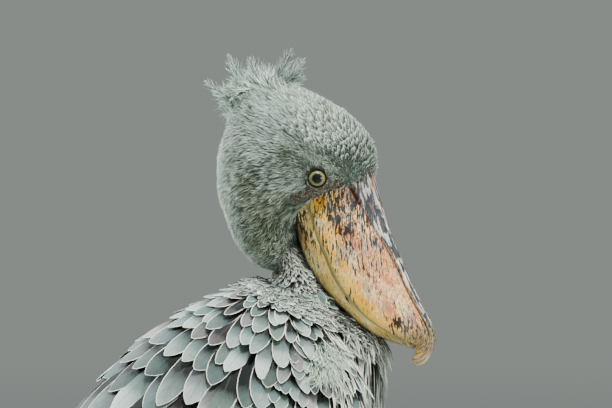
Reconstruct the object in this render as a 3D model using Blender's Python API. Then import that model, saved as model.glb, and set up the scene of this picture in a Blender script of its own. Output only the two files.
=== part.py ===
"""A shoebill standing at rest, its neck drawn in and its bill laid on its breast.

Metres, +Z up. The bird faces +X, its left side is +Y and its feet stand on z = 0.
Each surface is lofted through chords that lie in the bird's middle plane, from a
point on its back to a point on its front or underside, with a half width to each side.
"""

import math

import bmesh
import bpy
import numpy as np
from mathutils import Matrix, Vector

# Driving sizes
GAP = 0.0003
MITRE = 0.0006
BILL_DROOP = math.radians(57.7)
BILL_ROOT = Vector((0.015, 0.0, 0.938))
HEAD_TURN = math.radians(-18.0)
HEAD_PIVOT_X = -0.02
EYE_CENTRE = Vector((0.0304, 0.0488, 0.9700))
EYE_RADIUS = 0.0135
EYE_COLUMNS, EYE_ROWS = 16, 10
EYE_AIM = Vector((0.34, 0.94, 0.03)).normalized()
LID_RADIUS = 0.0103
LID_THICKNESS = 0.0019
SOCKET_RADIUS = 0.030
SOCKET_DEPTH = 0.0096
LEG_SPREAD = 0.066
STRIDE = 0.022
VANE_THICKNESS = 0.0009
VANE_PLAN = ((0.0, 0.50), (0.48, 0.98), (0.88, 0.72), (1.0, 0.20))
PLUME_PLAN = ((0.0, 0.55), (0.40, 1.0), (0.78, 0.62), (1.0, 0.12))

# Chords of the head, crown to throat: back x, back z, front x, front z, half width
HEAD = (
    (-0.054, 1.0830, -0.010, 1.0830, 0.024),
    (-0.078, 1.0710, 0.017, 1.0660, 0.043),
    (-0.090, 1.0500, 0.049, 1.0480, 0.058),
    (-0.098, 1.0230, 0.077, 1.0210, 0.067),
    (-0.105, 1.0000, 0.0865, 0.9960, 0.070),
    (-0.1065, 0.9700, 0.0812, 0.9632, 0.0700),
    (-0.1035, 0.9450, 0.0455, 0.9452, 0.0695),
    (-0.0930, 0.9200, 0.0120, 0.9240, 0.0660),
    (-0.083, 0.8950, 0.0040, 0.9020, 0.0590),
    (-0.064, 0.8720, 0.0060, 0.8800, 0.0500),
    (-0.044, 0.8540, 0.0120, 0.8620, 0.0380),
)
# Chords of the neck, from inside the head down into the shoulders
NECK = (
    (-0.046, 0.9000, -0.010, 0.9050, 0.034),
    (-0.040, 0.8760, 0.0010, 0.8820, 0.044),
    (-0.036, 0.8580, 0.0120, 0.8580, 0.051),
    (-0.047, 0.8420, 0.0260, 0.8350, 0.057),
    (-0.066, 0.8250, 0.0440, 0.8080, 0.064),
    (-0.060, 0.8050, 0.0560, 0.7860, 0.060),
)
# Chords of the trunk, shoulders to rump
TORSO = (
    (-0.034, 0.8430, 0.0420, 0.8080, 0.056),
    (-0.072, 0.8310, 0.0865, 0.7740, 0.082),
    (-0.120, 0.8100, 0.0880, 0.7200, 0.106),
    (-0.166, 0.7800, 0.0770, 0.6600, 0.123),
    (-0.207, 0.7430, 0.0450, 0.6000, 0.132),
    (-0.247, 0.6980, -0.0120, 0.5440, 0.131),
    (-0.294, 0.6440, -0.0900, 0.4960, 0.121),
    (-0.344, 0.5880, -0.1850, 0.4610, 0.101),
    (-0.390, 0.5400, -0.2800, 0.4420, 0.076),
    (-0.430, 0.5010, -0.3620, 0.4420, 0.050),
)
# The folded wing, shoulder to tip: back x, back z, lower edge x, lower edge z,
# half width, distance of the back edge from the middle plane, widest share of the chord
WING = (
    (-0.045, 0.8500, 0.0050, 0.8330, 0.068, 0.0200, 0.62),
    (-0.072, 0.8450, 0.0400, 0.7900, 0.092, 0.0100, 0.62),
    (-0.112, 0.8270, 0.0620, 0.7250, 0.117, 0.0020, 0.62),
    (-0.163, 0.7980, 0.0560, 0.6650, 0.135, 0.0015, 0.62),
    (-0.210, 0.7620, 0.0220, 0.6080, 0.146, 0.0015, 0.62),
    (-0.256, 0.7130, -0.0450, 0.5530, 0.148, 0.0015, 0.62),
    (-0.306, 0.6560, -0.1300, 0.5040, 0.141, 0.0015, 0.62),
    (-0.359, 0.5990, -0.2250, 0.4620, 0.124, 0.0015, 0.62),
    (-0.413, 0.5430, -0.3250, 0.4260, 0.098, 0.0015, 0.62),
    (-0.466, 0.4880, -0.4200, 0.3960, 0.068, 0.0020, 0.62),
    (-0.516, 0.4330, -0.5000, 0.3700, 0.042, 0.0040, 0.62),
    (-0.556, 0.3870, -0.5600, 0.3450, 0.022, 0.0060, 0.62),
)
WING_CORE_END = 0.87
WING_CORE_DEPTH = 0.0065
WING_SHELL = (0.048, 0.048, 0.048, 0.048, 0.048, 0.046, 0.040, 0.026, 0.008, 0.0045, 0.004)

# Tiers of wing feathers, tip end first: root place along the wing, lowest and highest
# share of the way across, count, length, width, lift of the tip
WING_TIERS = (
    ("primaries", 0.70, 0.44, 0.94, 5, 0.205, 0.034, 0.0040),
    ("tertials", 0.66, 0.10, 0.40, 3, 0.170, 0.046, 0.0050),
    ("secondaries", 0.56, 0.09, 0.93, 6, 0.170, 0.047, 0.0060),
    ("greater_coverts", 0.46, 0.08, 0.93, 6, 0.120, 0.054, 0.0065),
    ("median_coverts", 0.37, 0.08, 0.92, 6, 0.100, 0.055, 0.0065),
    ("lesser_coverts", 0.285, 0.09, 0.92, 5, 0.090, 0.058, 0.0060),
    ("upper_scapulars", 0.205, 0.10, 0.90, 5, 0.082, 0.054, 0.0055),
    ("shoulder_scapulars", 0.125, 0.12, 0.88, 4, 0.075, 0.048, 0.0050),
)
# Crest plumes: root x, root z, tip x, tip z, root y, tip y
CREST = (
    (-0.078, 1.0500, -0.1190, 1.0848, -0.012, -0.024),
    (-0.076, 1.0540, -0.1130, 1.0720, 0.012, 0.028),
    (-0.073, 1.0640, -0.1030, 1.1102, 0.006, 0.012),
    (-0.069, 1.0670, -0.0931, 1.1162, -0.006, -0.012),
    (-0.062, 1.0730, -0.0800, 1.1040, 0.016, 0.030),
    (-0.056, 1.0760, -0.0640, 1.1142, -0.010, -0.014),
    (-0.050, 1.0780, -0.0526, 1.1032, 0.010, 0.016),
    (-0.044, 1.0770, -0.0154, 1.1235, -0.004, -0.006),
    (-0.036, 1.0790, -0.0053, 1.1110, 0.008, 0.012),
    (-0.028, 1.0790, -0.0020, 1.0990, -0.010, -0.014),
)
CREST_WIDTH = 0.015

# Upper bill in its own frame, +x to the tip and +z to the culmen:
# top x, top z, cutting edge x, cutting edge z, half width, half width of the ridge
MAXILLA = (
    (-0.0045, 0.0810, -0.0045, 0.0015, 0.0420, 0.0172),
    (0.0085, 0.0772, 0.0065, 0.0000, 0.0450, 0.0152),
    (0.0215, 0.0737, 0.0187, -0.0020, 0.0475, 0.0135),
    (0.0506, 0.0660, 0.0418, -0.0071, 0.0500, 0.0105),
    (0.0769, 0.0600, 0.0690, -0.0113, 0.0500, 0.0090),
    (0.1136, 0.0540, 0.0986, -0.0155, 0.0480, 0.0080),
    (0.1400, 0.0500, 0.1272, -0.0138, 0.0440, 0.0078),
    (0.1660, 0.0475, 0.1544, -0.0082, 0.0385, 0.0078),
    (0.1900, 0.0462, 0.1810, 0.0029, 0.0310, 0.0080),
    (0.2085, 0.0425, 0.1985, 0.0138, 0.0225, 0.0080),
    (0.2200, 0.0335, 0.2075, 0.0185, 0.0145, 0.0070),
    (0.2280, 0.0212, 0.2130, 0.0150, 0.0090, 0.0045),
    (0.2303, 0.0108, 0.2165, 0.0082, 0.0055, 0.0028),
    (0.2270, 0.0020, 0.2205, 0.0014, 0.0022, 0.0012),
)
# Half section of the upper bill from the culmen to the palate: share of the half width
# measured from the ridge's edge, share of the height
MAXILLA_SECTION = ((0.12, 0.895), (0.42, 0.78), (0.74, 0.57), (0.94, 0.33), (1.0, 0.14), (0.97, 0.0))
# Lower bill: cutting edge x, z, lower edge x, z, half width
MANDIBLE = (
    (-0.0300, 0.0040, -0.0280, -0.0120, 0.0390),
    (-0.0120, 0.0030, -0.0080, -0.0230, 0.0430),
    (0.0187, 0.0010, 0.0190, -0.0330, 0.0460),
    (0.0418, -0.0041, 0.0450, -0.0400, 0.0480),
    (0.0690, -0.0083, 0.0720, -0.0420, 0.0478),
    (0.0986, -0.0125, 0.0990, -0.0398, 0.0455),
    (0.1272, -0.0108, 0.1280, -0.0322, 0.0410),
    (0.1544, -0.0052, 0.1560, -0.0242, 0.0350),
    (0.1810, 0.0059, 0.1830, -0.0098, 0.0270),
    (0.1960, 0.0150, 0.2000, 0.0030, 0.0180),
    (0.2060, 0.0185, 0.2095, 0.0105, 0.0100),
)
MANDIBLE_SECTION = ((0.99, 1.0), (1.0, 0.80), (0.93, 0.45), (0.74, 0.15), (0.42, 0.0))
# Bone of the leg, top to bottom, for the left leg: x, z, radius
SHANK = (
    (-0.1270, 0.3950, 0.0125),
    (-0.1340, 0.3600, 0.0112),
    (-0.1430, 0.3150, 0.0103),
    (-0.1520, 0.2820, 0.0128),
    (-0.1545, 0.2620, 0.0150),
    (-0.1510, 0.2380, 0.0118),
    (-0.1470, 0.2000, 0.0090),
    (-0.1400, 0.1300, 0.0084),
    (-0.1340, 0.0600, 0.0084),
    (-0.1310, 0.0170, 0.0086),
)
FOOT_X = -0.130
PAD_SIZE = (0.0165, 0.0155, 0.0145)
PAD_HEIGHT = 0.0085
PAD_COLUMNS, PAD_ROWS = 12, 8
# Toes: name, angle from straight ahead towards the outside, length without claw, radius
TOES = (
    ("middle", 4.0, 0.150, 0.0084),
    ("inner", -24.0, 0.118, 0.0078),
    ("outer", 34.0, 0.124, 0.0078),
    ("hind", 196.0, 0.074, 0.0074),
)
TOE_JOINTS = {"middle": 3, "inner": 2, "outer": 3, "hind": 2}
TOE_BEND = 0.005
TOE_SIDES = 8
CLAW_LENGTH = 0.024
CLAW_ROOT = 0.86
CLAW_POINT = 0.0005
THIGH = (
    (-0.140, 0.5400, -0.0300, 0.5600, 0.044),
    (-0.158, 0.5000, -0.0540, 0.5050, 0.043),
    (-0.166, 0.4600, -0.0850, 0.4600, 0.035),
    (-0.161, 0.4200, -0.1010, 0.4180, 0.026),
    (-0.153, 0.3850, -0.1120, 0.3820, 0.0185),
)
TAIL_ROOT = Vector((-0.350, 0.0, 0.448))
TAIL_LENGTH = 0.200
TAIL_SLOPE = math.radians(46.5)
TAIL_FEATHERS = 12
TAIL_SPREAD = math.radians(13.0)

COLOURS = {
    "plumage": ((0.36, 0.41, 0.40), 0.85),
    "horn": ((0.72, 0.47, 0.27), 0.45),
    "eye": ((0.55, 0.56, 0.30), 0.08),
    "leg": ((0.075, 0.080, 0.085), 0.6),
    "claw": ((0.035, 0.033, 0.032), 0.4),
}


def smooth(rows, u):
    """Rows read at shares u of the way along, on one smooth curve through them all."""
    rows = np.asarray(rows, float)
    rows = np.vstack([2 * rows[0] - rows[1], rows, 2 * rows[-1] - rows[-2]])
    spans = len(rows) - 3
    place = np.clip(np.asarray(u, float) * spans, 0, spans)
    index = np.minimum(place.astype(int), spans - 1)
    t = (place - index)[..., None]
    a, b, c, d = (rows[index + k] for k in range(4))
    return 0.5 * (2 * b + (c - a) * t + (2 * a - 5 * b + 4 * c - d) * t**2 + (3 * b - a - 3 * c + d) * t**3)


def unit(vectors):
    """Vectors at length one."""
    return vectors / np.maximum(np.linalg.norm(vectors, axis=-1, keepdims=True), 1e-12)


class Skin:
    """A surface lofted through chords. u runs along it, and a is the angle round it from the back."""

    def __init__(self, rows, start=0.0, end=0.0, side=1.0, matrix=None):
        self.rows = [tuple(r) + (0.0, 0.5)[len(r) - 5 :] for r in rows]
        self.start, self.end, self.side = start, end, side
        self.matrix = matrix or Matrix.Identity(4)

    def round_off(self, u):
        """How far the section has grown at u, where the ends are domes."""
        size = np.ones_like(u)
        for reach, share in ((self.start, u), (self.end, 1 - u)):
            if reach:
                size = size * np.sqrt(np.clip(1 - np.clip(1 - share / reach, 0, 1) ** 2, 0, 1))
        return size

    def at(self, u, a, grow=0.0):
        """Points at (u, a), moved outwards by grow."""
        u, a = np.broadcast_arrays(np.asarray(u, float), np.asarray(a, float))
        row = smooth(self.rows, u)
        zero = np.zeros_like(u)
        back = np.stack([row[..., 0], zero, row[..., 1]], -1)
        chord = np.stack([row[..., 2], zero, row[..., 3]], -1) - back
        size = self.round_off(u)
        reach = 0.5 + (row[..., 6] * (1 - np.cos(a)) - 0.5) * size
        width = row[..., 5] + (row[..., 4] - row[..., 5]) * np.sin(a) * size
        points = back + chord * reach[..., None] - unit(chord) * (grow * np.cos(a))[..., None]
        points[..., 1] = self.side * (width + grow * np.sin(a))
        step = 1e-3
        middles = [smooth(self.rows, np.clip(u + s, 0, 1)) for s in (-step, step)]
        low, high = (0.5 * (m[..., 0:2] + m[..., 2:4]) for m in middles)
        axis = unit(np.stack([(high - low)[..., 0], zero, (high - low)[..., 1]], -1))
        lead = np.clip(1 - u / self.start, 0, 1) if self.start else zero
        trail = np.clip(1 - (1 - u) / self.end, 0, 1) if self.end else zero
        points = points + axis * (grow * (trail - lead))[..., None]
        turn = np.array(self.matrix)
        return points @ turn[:3, :3].T + turn[:3, 3]

    def frame(self, u, a):
        """Point, unit directions along and round, outward normal, and metres for each unit of u and a."""
        step = 1e-3
        low, high = max(u - step, 0.0), min(u + step, 1.0)
        along = (self.at(high, a) - self.at(low, a)) / (high - low)
        round_ = (self.at(u, a + step) - self.at(u, a - step)) / (2 * step)
        normal = unit(np.cross(round_, along)) * self.side
        return self.at(u, a), unit(along), unit(round_), normal, np.linalg.norm(along), np.linalg.norm(round_)


def object_of(name, points, faces):
    """A mesh object from points and faces."""
    mesh = bpy.data.meshes.new(name)
    mesh.from_pydata([tuple(p) for p in points], [], [tuple(int(i) for i in f) for f in faces])
    mesh.validate()
    obj = bpy.data.objects.new(name, mesh)
    bpy.context.scene.collection.objects.link(obj)
    return obj


def turn_faces_out(obj):
    """Splits the faces into triangles and points them outwards."""
    work = bmesh.new()
    work.from_mesh(obj.data)
    bmesh.ops.remove_doubles(work, verts=work.verts, dist=1e-7)
    bmesh.ops.triangulate(work, faces=work.faces)
    bmesh.ops.recalc_face_normals(work, faces=work.faces)
    if work.calc_volume(signed=True) < 0:
        bmesh.ops.reverse_faces(work, faces=work.faces)
    work.to_mesh(obj.data)
    work.free()
    return obj


def rings_object(name, rings, poles=(None, None), strip_caps=False):
    """A closed body through rings of equal count, each end a pole, a flat fan or a strip."""
    count = len(rings[0])
    points = [p for ring in rings for p in ring]
    faces = []
    for i in range(len(rings) - 1):
        for j in range(count):
            k = (j + 1) % count
            faces.append((i * count + j, i * count + k, (i + 1) * count + k, (i + 1) * count + j))
    for end, pole in ((0, poles[0]), (len(rings) - 1, poles[1])):
        base = end * count
        if strip_caps:
            half = count // 2
            for j in range(half - 1):
                faces.append((base + j, base + j + 1, base + count - 2 - j, base + count - 1 - j))
            continue
        points.append(np.mean(rings[end], axis=0) if pole is None else pole)
        middle = len(points) - 1
        faces += [(base + j, base + (j + 1) % count, middle) for j in range(count)]
    return turn_faces_out(object_of(name, points, faces))


def levels(count, skin):
    """Places of the rings, closer together where an end is a dome."""
    even = np.linspace(0, 1, count)
    eased = 0.5 - 0.5 * np.cos(np.pi * even)
    share = 0.75 if skin.start and skin.end else 0.0
    return (1 - share) * even + share * eased


def skin_object(name, skin, rings, sides, grow=0.0):
    """The closed body inside a skin that runs all the way round."""
    places = levels(rings, skin)
    angles = np.arange(sides) * 2 * np.pi / sides
    poles = [None, None]
    if skin.start:
        poles[0] = skin.at(0.0, 0.0, grow) * 0.5 + skin.at(0.0, np.pi, grow) * 0.5
        places = places[1:]
    if skin.end:
        poles[1] = skin.at(1.0, 0.0, grow) * 0.5 + skin.at(1.0, np.pi, grow) * 0.5
        places = places[:-1]
    return rings_object(name, [skin.at(u, angles, grow) for u in places], poles)


def ball(name, centre, radii, columns=14, rows=9):
    """An ellipsoid."""
    work = bmesh.new()
    shape = Matrix.Translation(centre) @ Matrix.Diagonal((*radii, 1.0))
    bmesh.ops.create_uvsphere(work, u_segments=columns, v_segments=rows, radius=1.0, matrix=shape)
    mesh = bpy.data.meshes.new(name)
    work.to_mesh(mesh)
    work.free()
    obj = bpy.data.objects.new(name, mesh)
    bpy.context.scene.collection.objects.link(obj)
    return turn_faces_out(obj)


def tube_rings(path, radii, sides, flatten=1.0, up=(0.0, 0.0, 1.0)):
    """Round sections set square to a path."""
    path = np.asarray(path, float)
    ways = unit(np.gradient(path, axis=0))
    rings = []
    for point, way, radius in zip(path, ways, radii):
        across = unit(np.cross(np.asarray(up, float), way))
        over = np.cross(way, across)
        angles = np.arange(sides) * 2 * np.pi / sides
        offsets = np.cos(angles)[:, None] * across + flatten * np.sin(angles)[:, None] * over
        rings.append(point + radius * offsets)
    return rings


def combine(target, others, operation):
    """Joins or cuts the target with all the others at once, and removes them."""
    group = bpy.data.collections.new("tools")
    bpy.context.scene.collection.children.link(group)
    for other in others:
        bpy.context.scene.collection.objects.unlink(other)
        group.objects.link(other)
    modifier = target.modifiers.new("combine", "BOOLEAN")
    modifier.operation = operation
    modifier.solver = "EXACT"
    modifier.operand_type = "COLLECTION"
    modifier.collection = group
    graph = bpy.context.evaluated_depsgraph_get()
    made = bpy.data.meshes.new_from_object(target.evaluated_get(graph))
    target.modifiers.clear()
    target.data = made
    for other in others:
        bpy.data.objects.remove(other)
    bpy.data.collections.remove(group)
    return target


def keep_largest(obj):
    """Keeps the largest closed surface of the object's mesh."""
    work = bmesh.new()
    work.from_mesh(obj.data)
    bmesh.ops.triangulate(work, faces=work.faces)
    seen = set()
    groups = []
    for first in work.faces:
        if first in seen:
            continue
        stack, group = [first], []
        seen.add(first)
        while stack:
            face = stack.pop()
            group.append(face)
            for edge in face.edges:
                for other in edge.link_faces:
                    if other not in seen:
                        seen.add(other)
                        stack.append(other)
        groups.append(group)

    def volume(group):
        total = 0.0
        for face in group:
            a, b, c = (v.co for v in face.verts)
            total += a.dot(b.cross(c)) / 6
        return abs(total)

    groups.sort(key=volume)
    spare = [f for g in groups[:-1] for f in g]
    bmesh.ops.delete(work, geom=spare, context="FACES")
    work.to_mesh(obj.data)
    work.free()
    return obj


def skin_path(skin, u, a, heading, length, count):
    """Points, ways and outward normals of a line laid on the skin, straight on past its end."""
    step = length / (count - 1)
    points, ways, normals = [], [], []
    for _ in range(count):
        if u < 0.995:
            point, along, across, normal, scale_u, scale_a = skin.frame(u, a)
            way = unit(math.cos(heading) * along + math.sin(heading) * across)
            u += step * math.cos(heading) / scale_u
            a += step * math.sin(heading) / scale_a
        else:
            point = points[-1] + step * ways[-1]
        points.append(point)
        ways.append(way)
        normals.append(normal)
    return np.array(points), np.array(ways), np.array(normals)


def vane(name, points, ways, normals, width, lift, sink, roll=0.0, plan=VANE_PLAN):
    """A thin feather over a path, sunk at its root and lifted at its tip."""
    spots = np.linspace(0, 1, len(points))
    upper, lower = [], []
    for t, share in plan:
        point, way, normal = (np.array([np.interp(t, spots, v[:, k]) for k in range(3)]) for v in (points, ways, normals))
        across = unit(np.cross(normal, way))
        across = unit(math.cos(roll) * across + math.sin(roll) * normal)
        over = unit(np.cross(way, across))
        middle = point + over * (-sink + (lift + sink) * t)
        for side in (-0.5, 0.5):
            top = middle + across * (side * width * share)
            upper.append(top)
            lower.append(top - over * VANE_THICKNESS)
    under = len(upper)
    faces = []
    for a in range(0, under - 2, 2):
        faces += [(a, a + 2, a + 3), (a, a + 3, a + 1)]
        faces += [(under + a, under + a + 3, under + a + 2), (under + a, under + a + 1, under + a + 3)]
    rim = list(range(0, under, 2)) + list(range(under - 1, 0, -2))
    for first, second in zip(rim, rim[1:] + rim[:1]):
        faces += [(first, under + first, under + second), (first, under + second, second)]
    return turn_faces_out(object_of(name, upper + lower, faces))


def head_matrix():
    """Turns the head to the bird's right about a standing axis through the neck."""
    pivot = Matrix.Translation((HEAD_PIVOT_X, 0.0, 0.0))
    return pivot @ Matrix.Rotation(HEAD_TURN, 4, "Z") @ pivot.inverted()


def bill_matrix():
    """From the bill's own frame to the bird's."""
    return head_matrix() @ Matrix.Translation(BILL_ROOT) @ Matrix.Rotation(BILL_DROOP, 4, "Y")


def placed(points, matrix):
    """Points carried by a matrix."""
    turn = np.array(matrix)
    return np.asarray(points, float) @ turn[:3, :3].T + turn[:3, 3]


def head_skin():
    """The head's surface."""
    return Skin(HEAD, 0.10, 0.12, matrix=head_matrix())


def pushed_ends(rings, grow):
    """Bill sections with the first and last moved out by grow, carried to the bird's frame."""
    rings[0][:, 0] -= grow
    rings[-1][:, 0] += grow
    return [placed(ring, bill_matrix()) for ring in rings]


def maxilla_rings(grow=0.0):
    """Sections of the upper bill, with a ridge, a groove beside it and swelling sides."""
    rings = []
    for top_x, top_z, low_x, low_z, half, ridge in smooth(MAXILLA, np.linspace(0, 1, 17)):
        top, low = np.array([top_x, 0, top_z]), np.array([low_x, 0, low_z])
        rise = unit(top - low)
        height = np.linalg.norm(top - low)
        side = [(0.55 * ridge, 0.995 * height), (ridge, 0.955 * height)]
        side += [(ridge + (half - ridge) * w, h * height) for w, h in MAXILLA_SECTION]
        half_ring = [(0.0, height)] + side + [(0.0, 0.0)]
        half_ring = [(w + grow * (w > 0), h + grow * (2 * h / height - 1)) for w, h in half_ring]
        ring = [low + rise * h + np.array([0, w, 0]) for w, h in half_ring]
        ring += [low + rise * h - np.array([0, w, 0]) for w, h in half_ring[-2:0:-1]]
        rings.append(np.array(ring))
    return pushed_ends(rings, grow)


def mandible_rings(grow=0.0):
    """Sections of the lower bill, a shallow trough under the cutting edges."""
    rings = []
    for top_x, top_z, low_x, low_z, half in smooth(MANDIBLE, np.linspace(0, 1, 14)):
        top, low = np.array([top_x, 0, top_z]), np.array([low_x, 0, low_z])
        rise = unit(top - low)
        height = np.linalg.norm(top - low)
        half_ring = [(0.0, height)] + [(half * w, h * height) for w, h in MANDIBLE_SECTION] + [(0.0, 0.02 * height)]
        half_ring = [(w + grow * (w > 0), h + grow * (2 * h / height - 1)) for w, h in half_ring]
        ring = [low + rise * h + np.array([0, w, 0]) for w, h in half_ring]
        ring += [low + rise * h - np.array([0, w, 0]) for w, h in half_ring[-2:0:-1]]
        rings.append(np.array(ring))
    return pushed_ends(rings, grow)


def maxilla(name, grow=0.0):
    """The upper bill."""
    return rings_object(name, maxilla_rings(grow))


def mandible(name, grow=0.0):
    """The lower bill, still standing a little into the upper one."""
    return rings_object(name, mandible_rings(grow))


def nostril(side):
    """A slit in the groove beside the culmen, near the forehead."""
    size = Matrix.Diagonal((0.0085, 0.0011, 0.0040, 1.0))
    place = Matrix.Translation((0.0240, side * 0.0155, 0.0670))
    slit = ball("nostril", (0, 0, 0), (1, 1, 1), 10, 6)
    slit.data.transform(bill_matrix() @ place @ Matrix.Rotation(math.radians(6), 4, "Y") @ size)
    return slit


def bill():
    """Both halves of the bill, with the line of the mouth between them."""
    upper = maxilla("bill_upper")
    combine(upper, [nostril(1.0), nostril(-1.0)], "DIFFERENCE")
    lower = mandible("bill_lower")
    combine(lower, [maxilla("cutter", GAP)], "DIFFERENCE")
    return [keep_largest(upper), keep_largest(lower)]


def eye_place(side):
    """Centre and way of an eye in the bird's frame."""
    centre = Vector((EYE_CENTRE.x, side * EYE_CENTRE.y, EYE_CENTRE.z))
    aim = Vector((EYE_AIM.x, side * EYE_AIM.y, EYE_AIM.z))
    return head_matrix() @ centre, head_matrix().to_3x3() @ aim


def eye(side):
    """One eyeball."""
    centre, _ = eye_place(side)
    name = "eye_left" if side > 0 else "eye_right"
    return ball(name, centre, (EYE_RADIUS,) * 3, EYE_COLUMNS, EYE_ROWS)


def eyelid(side):
    """The bare ring of the lids round an eye."""
    centre, aim = eye_place(side)
    aim = np.array(aim)
    across = unit(np.cross((0.0, 0.0, 1.0), aim))
    over = np.cross(aim, across)
    middle = np.array(centre) + aim * math.sqrt(EYE_RADIUS**2 - LID_RADIUS**2)
    sides, turns = 6, 16
    points, faces = [], []
    for i in range(turns):
        angle = 2 * math.pi * i / turns
        out = math.cos(angle) * across + 0.93 * math.sin(angle) * over
        for j in range(sides):
            tilt = 2 * math.pi * j / sides
            shape = out * (LID_RADIUS + LID_THICKNESS * math.cos(tilt)) + aim * (1.5 * LID_THICKNESS * math.sin(tilt))
            points.append(middle + shape)
            faces.append(
                (
                    i * sides + j,
                    i * sides + (j + 1) % sides,
                    ((i + 1) % turns) * sides + (j + 1) % sides,
                    ((i + 1) % turns) * sides + j,
                )
            )
    return turn_faces_out(object_of("eyelid", points, faces))


def socket(side):
    """The hollow in the plumage that the lids lie in."""
    centre, aim = eye_place(side)
    return ball("socket", centre + aim * (SOCKET_DEPTH + SOCKET_RADIUS), (SOCKET_RADIUS,) * 3, 20, 14)


def crest_plume(number, row):
    """One plume of the crest, with a slight curl."""
    root_x, root_z, tip_x, tip_z, root_y, tip_y = row
    root, tip = placed([(root_x, root_y, root_z), (tip_x, tip_y, tip_z)], head_matrix())
    way = unit(tip - root)
    flat = np.array((0.25 * (-1) ** number, -1.0, 0.15))
    normal = unit(flat - way * flat.dot(way))
    spots = np.linspace(-0.22, 1, 6)[:, None]
    curl = 0.05 * np.linalg.norm(tip - root)
    points = root + (tip - root) * spots + normal * curl * (spots * (1 - spots))
    ways = unit(np.gradient(points, axis=0))
    return vane("plume", points, ways, np.tile(normal, (6, 1)), CREST_WIDTH, 0.0, 0.0, plan=PLUME_PLAN)


def head():
    """The feathered head with its sockets, lids and crest, cut to take the bill and eyes."""
    body = skin_object("head", head_skin(), 17, 22)
    combine(body, [socket(1.0), socket(-1.0)], "DIFFERENCE")
    extras = [eyelid(1.0), eyelid(-1.0)] + [crest_plume(n, row) for n, row in enumerate(CREST)]
    combine(body, extras, "UNION")
    cutters = [maxilla("cutter", GAP), mandible("cutter", GAP)]
    for side in (1.0, -1.0):
        centre, _ = eye_place(side)
        cutters.append(ball("cutter", centre, (EYE_RADIUS + GAP,) * 3, EYE_COLUMNS, EYE_ROWS))
    for cutter in cutters:
        combine(body, [cutter], "DIFFERENCE")
    return keep_largest(body)


def torso_skin():
    """The trunk's surface."""
    return Skin(TORSO, 0.14, 0.14)


def breast_plumes():
    """Long narrow plumes that hang from the base of the neck over the breast."""
    plumes = []
    for tier, (u, count, length) in enumerate(((0.215, 7, 0.120), (0.135, 6, 0.110))):
        spread = math.radians(76.0 if tier == 0 else 68.0)
        for k in range(count):
            share = k / (count - 1) - 0.5
            path = skin_path(torso_skin(), u, math.pi + spread * share, 0.0, length, 6)
            name = f"plume_{tier}_{k}"
            plumes.append(vane(name, *path, 0.022, 0.0040, 0.0040, math.radians(5.0), PLUME_PLAN))
    return plumes


def torso():
    """The trunk with its breast plumes."""
    body = skin_object("torso", torso_skin(), 17, 22)
    combine(body, breast_plumes(), "UNION")
    combine(body, [mandible("cutter", MITRE)], "DIFFERENCE")
    return keep_largest(body)


def neck():
    """The drawn-in neck between the head and the shoulders."""
    body = skin_object("neck", Skin(NECK, 0.1, 0.1), 10, 18)
    for cutter in (
        skin_object("cutter", head_skin(), 17, 22, GAP),
        skin_object("cutter", torso_skin(), 17, 22, GAP),
        mandible("cutter", MITRE),
    ):
        combine(body, [cutter], "DIFFERENCE")
    return keep_largest(body)


def wing_skin(side):
    """The outer surface of a folded wing. a runs from the back edge to the lower edge."""
    return Skin(WING, side=side)


def wing_span(u):
    """The angle that the wing's section covers at u."""
    widest = smooth(WING, u)[..., 6]
    return np.arccos(1 - 1 / widest)


def wing_core(side):
    """The arm and hand of the folded wing, a shell that stands into the trunk."""
    skin = wing_skin(side)
    rings = []
    for u in np.linspace(0.0, WING_CORE_END, 12):
        angles = np.linspace(0.0, 1.0, 9) * wing_span(u)
        outer = skin.at(u, angles, -WING_CORE_DEPTH)
        depth = float(smooth(np.array(WING_SHELL)[:, None], u / WING_CORE_END)[..., 0])
        normals = np.array([skin.frame(u, a)[3] for a in np.clip(angles, 0.03, 10.0)])
        inner = outer - normals * depth
        inner[:, 1] = side * np.maximum(side * inner[:, 1], GAP)
        rings.append(np.vstack([outer, inner[::-1]]))
    return rings_object("wing_left" if side > 0 else "wing_right", rings, strip_caps=True)


def wing_vanes(side):
    """The wing's feathers in tiers, each tier over the roots of the one behind it."""
    vanes = []
    skin = wing_skin(side)
    for tier, (name, u, low, high, count, length, width, lift) in enumerate(WING_TIERS):
        for k in range(count):
            share = low + (high - low) * k / (count - 1)
            sway = 0.006 * math.sin(2.3 * k + 1.1 * tier)
            start = u + sway + (0.012 if k % 2 else 0.0)
            reach = length * (1.0 + 0.05 * math.cos(1.7 * k + tier))
            path = skin_path(skin, start, share * float(wing_span(u)), 0.02, reach, 6)
            sink = WING_CORE_DEPTH + 0.0028
            vanes.append(vane(f"{name}_{k}", *path, width, lift - WING_CORE_DEPTH, sink, side * math.radians(7.0)))
    return vanes


def wing(side):
    """A folded wing, cut to lie on the trunk and clear of the other wing."""
    body = wing_core(side)
    combine(body, wing_vanes(side), "UNION")
    for cutter in (
        skin_object("cutter", torso_skin(), 17, 22, GAP),
        skin_object("cutter", Skin(NECK, 0.1, 0.1), 10, 18, GAP),
        thigh_cutter(side),
        half_space(side),
    ):
        combine(body, [cutter], "DIFFERENCE")
    return keep_largest(body)


def half_space(side):
    """A block over the far side of the middle plane."""
    work = bmesh.new()
    shape = Matrix.Translation((-0.2, -side * (0.5 - GAP), 0.6)) @ Matrix.Diagonal((1.5, 1.0, 1.5, 1.0))
    bmesh.ops.create_cube(work, size=1.0, matrix=shape)
    mesh = bpy.data.meshes.new("cutter")
    work.to_mesh(mesh)
    work.free()
    obj = bpy.data.objects.new("cutter", mesh)
    bpy.context.scene.collection.objects.link(obj)
    return obj


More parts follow.
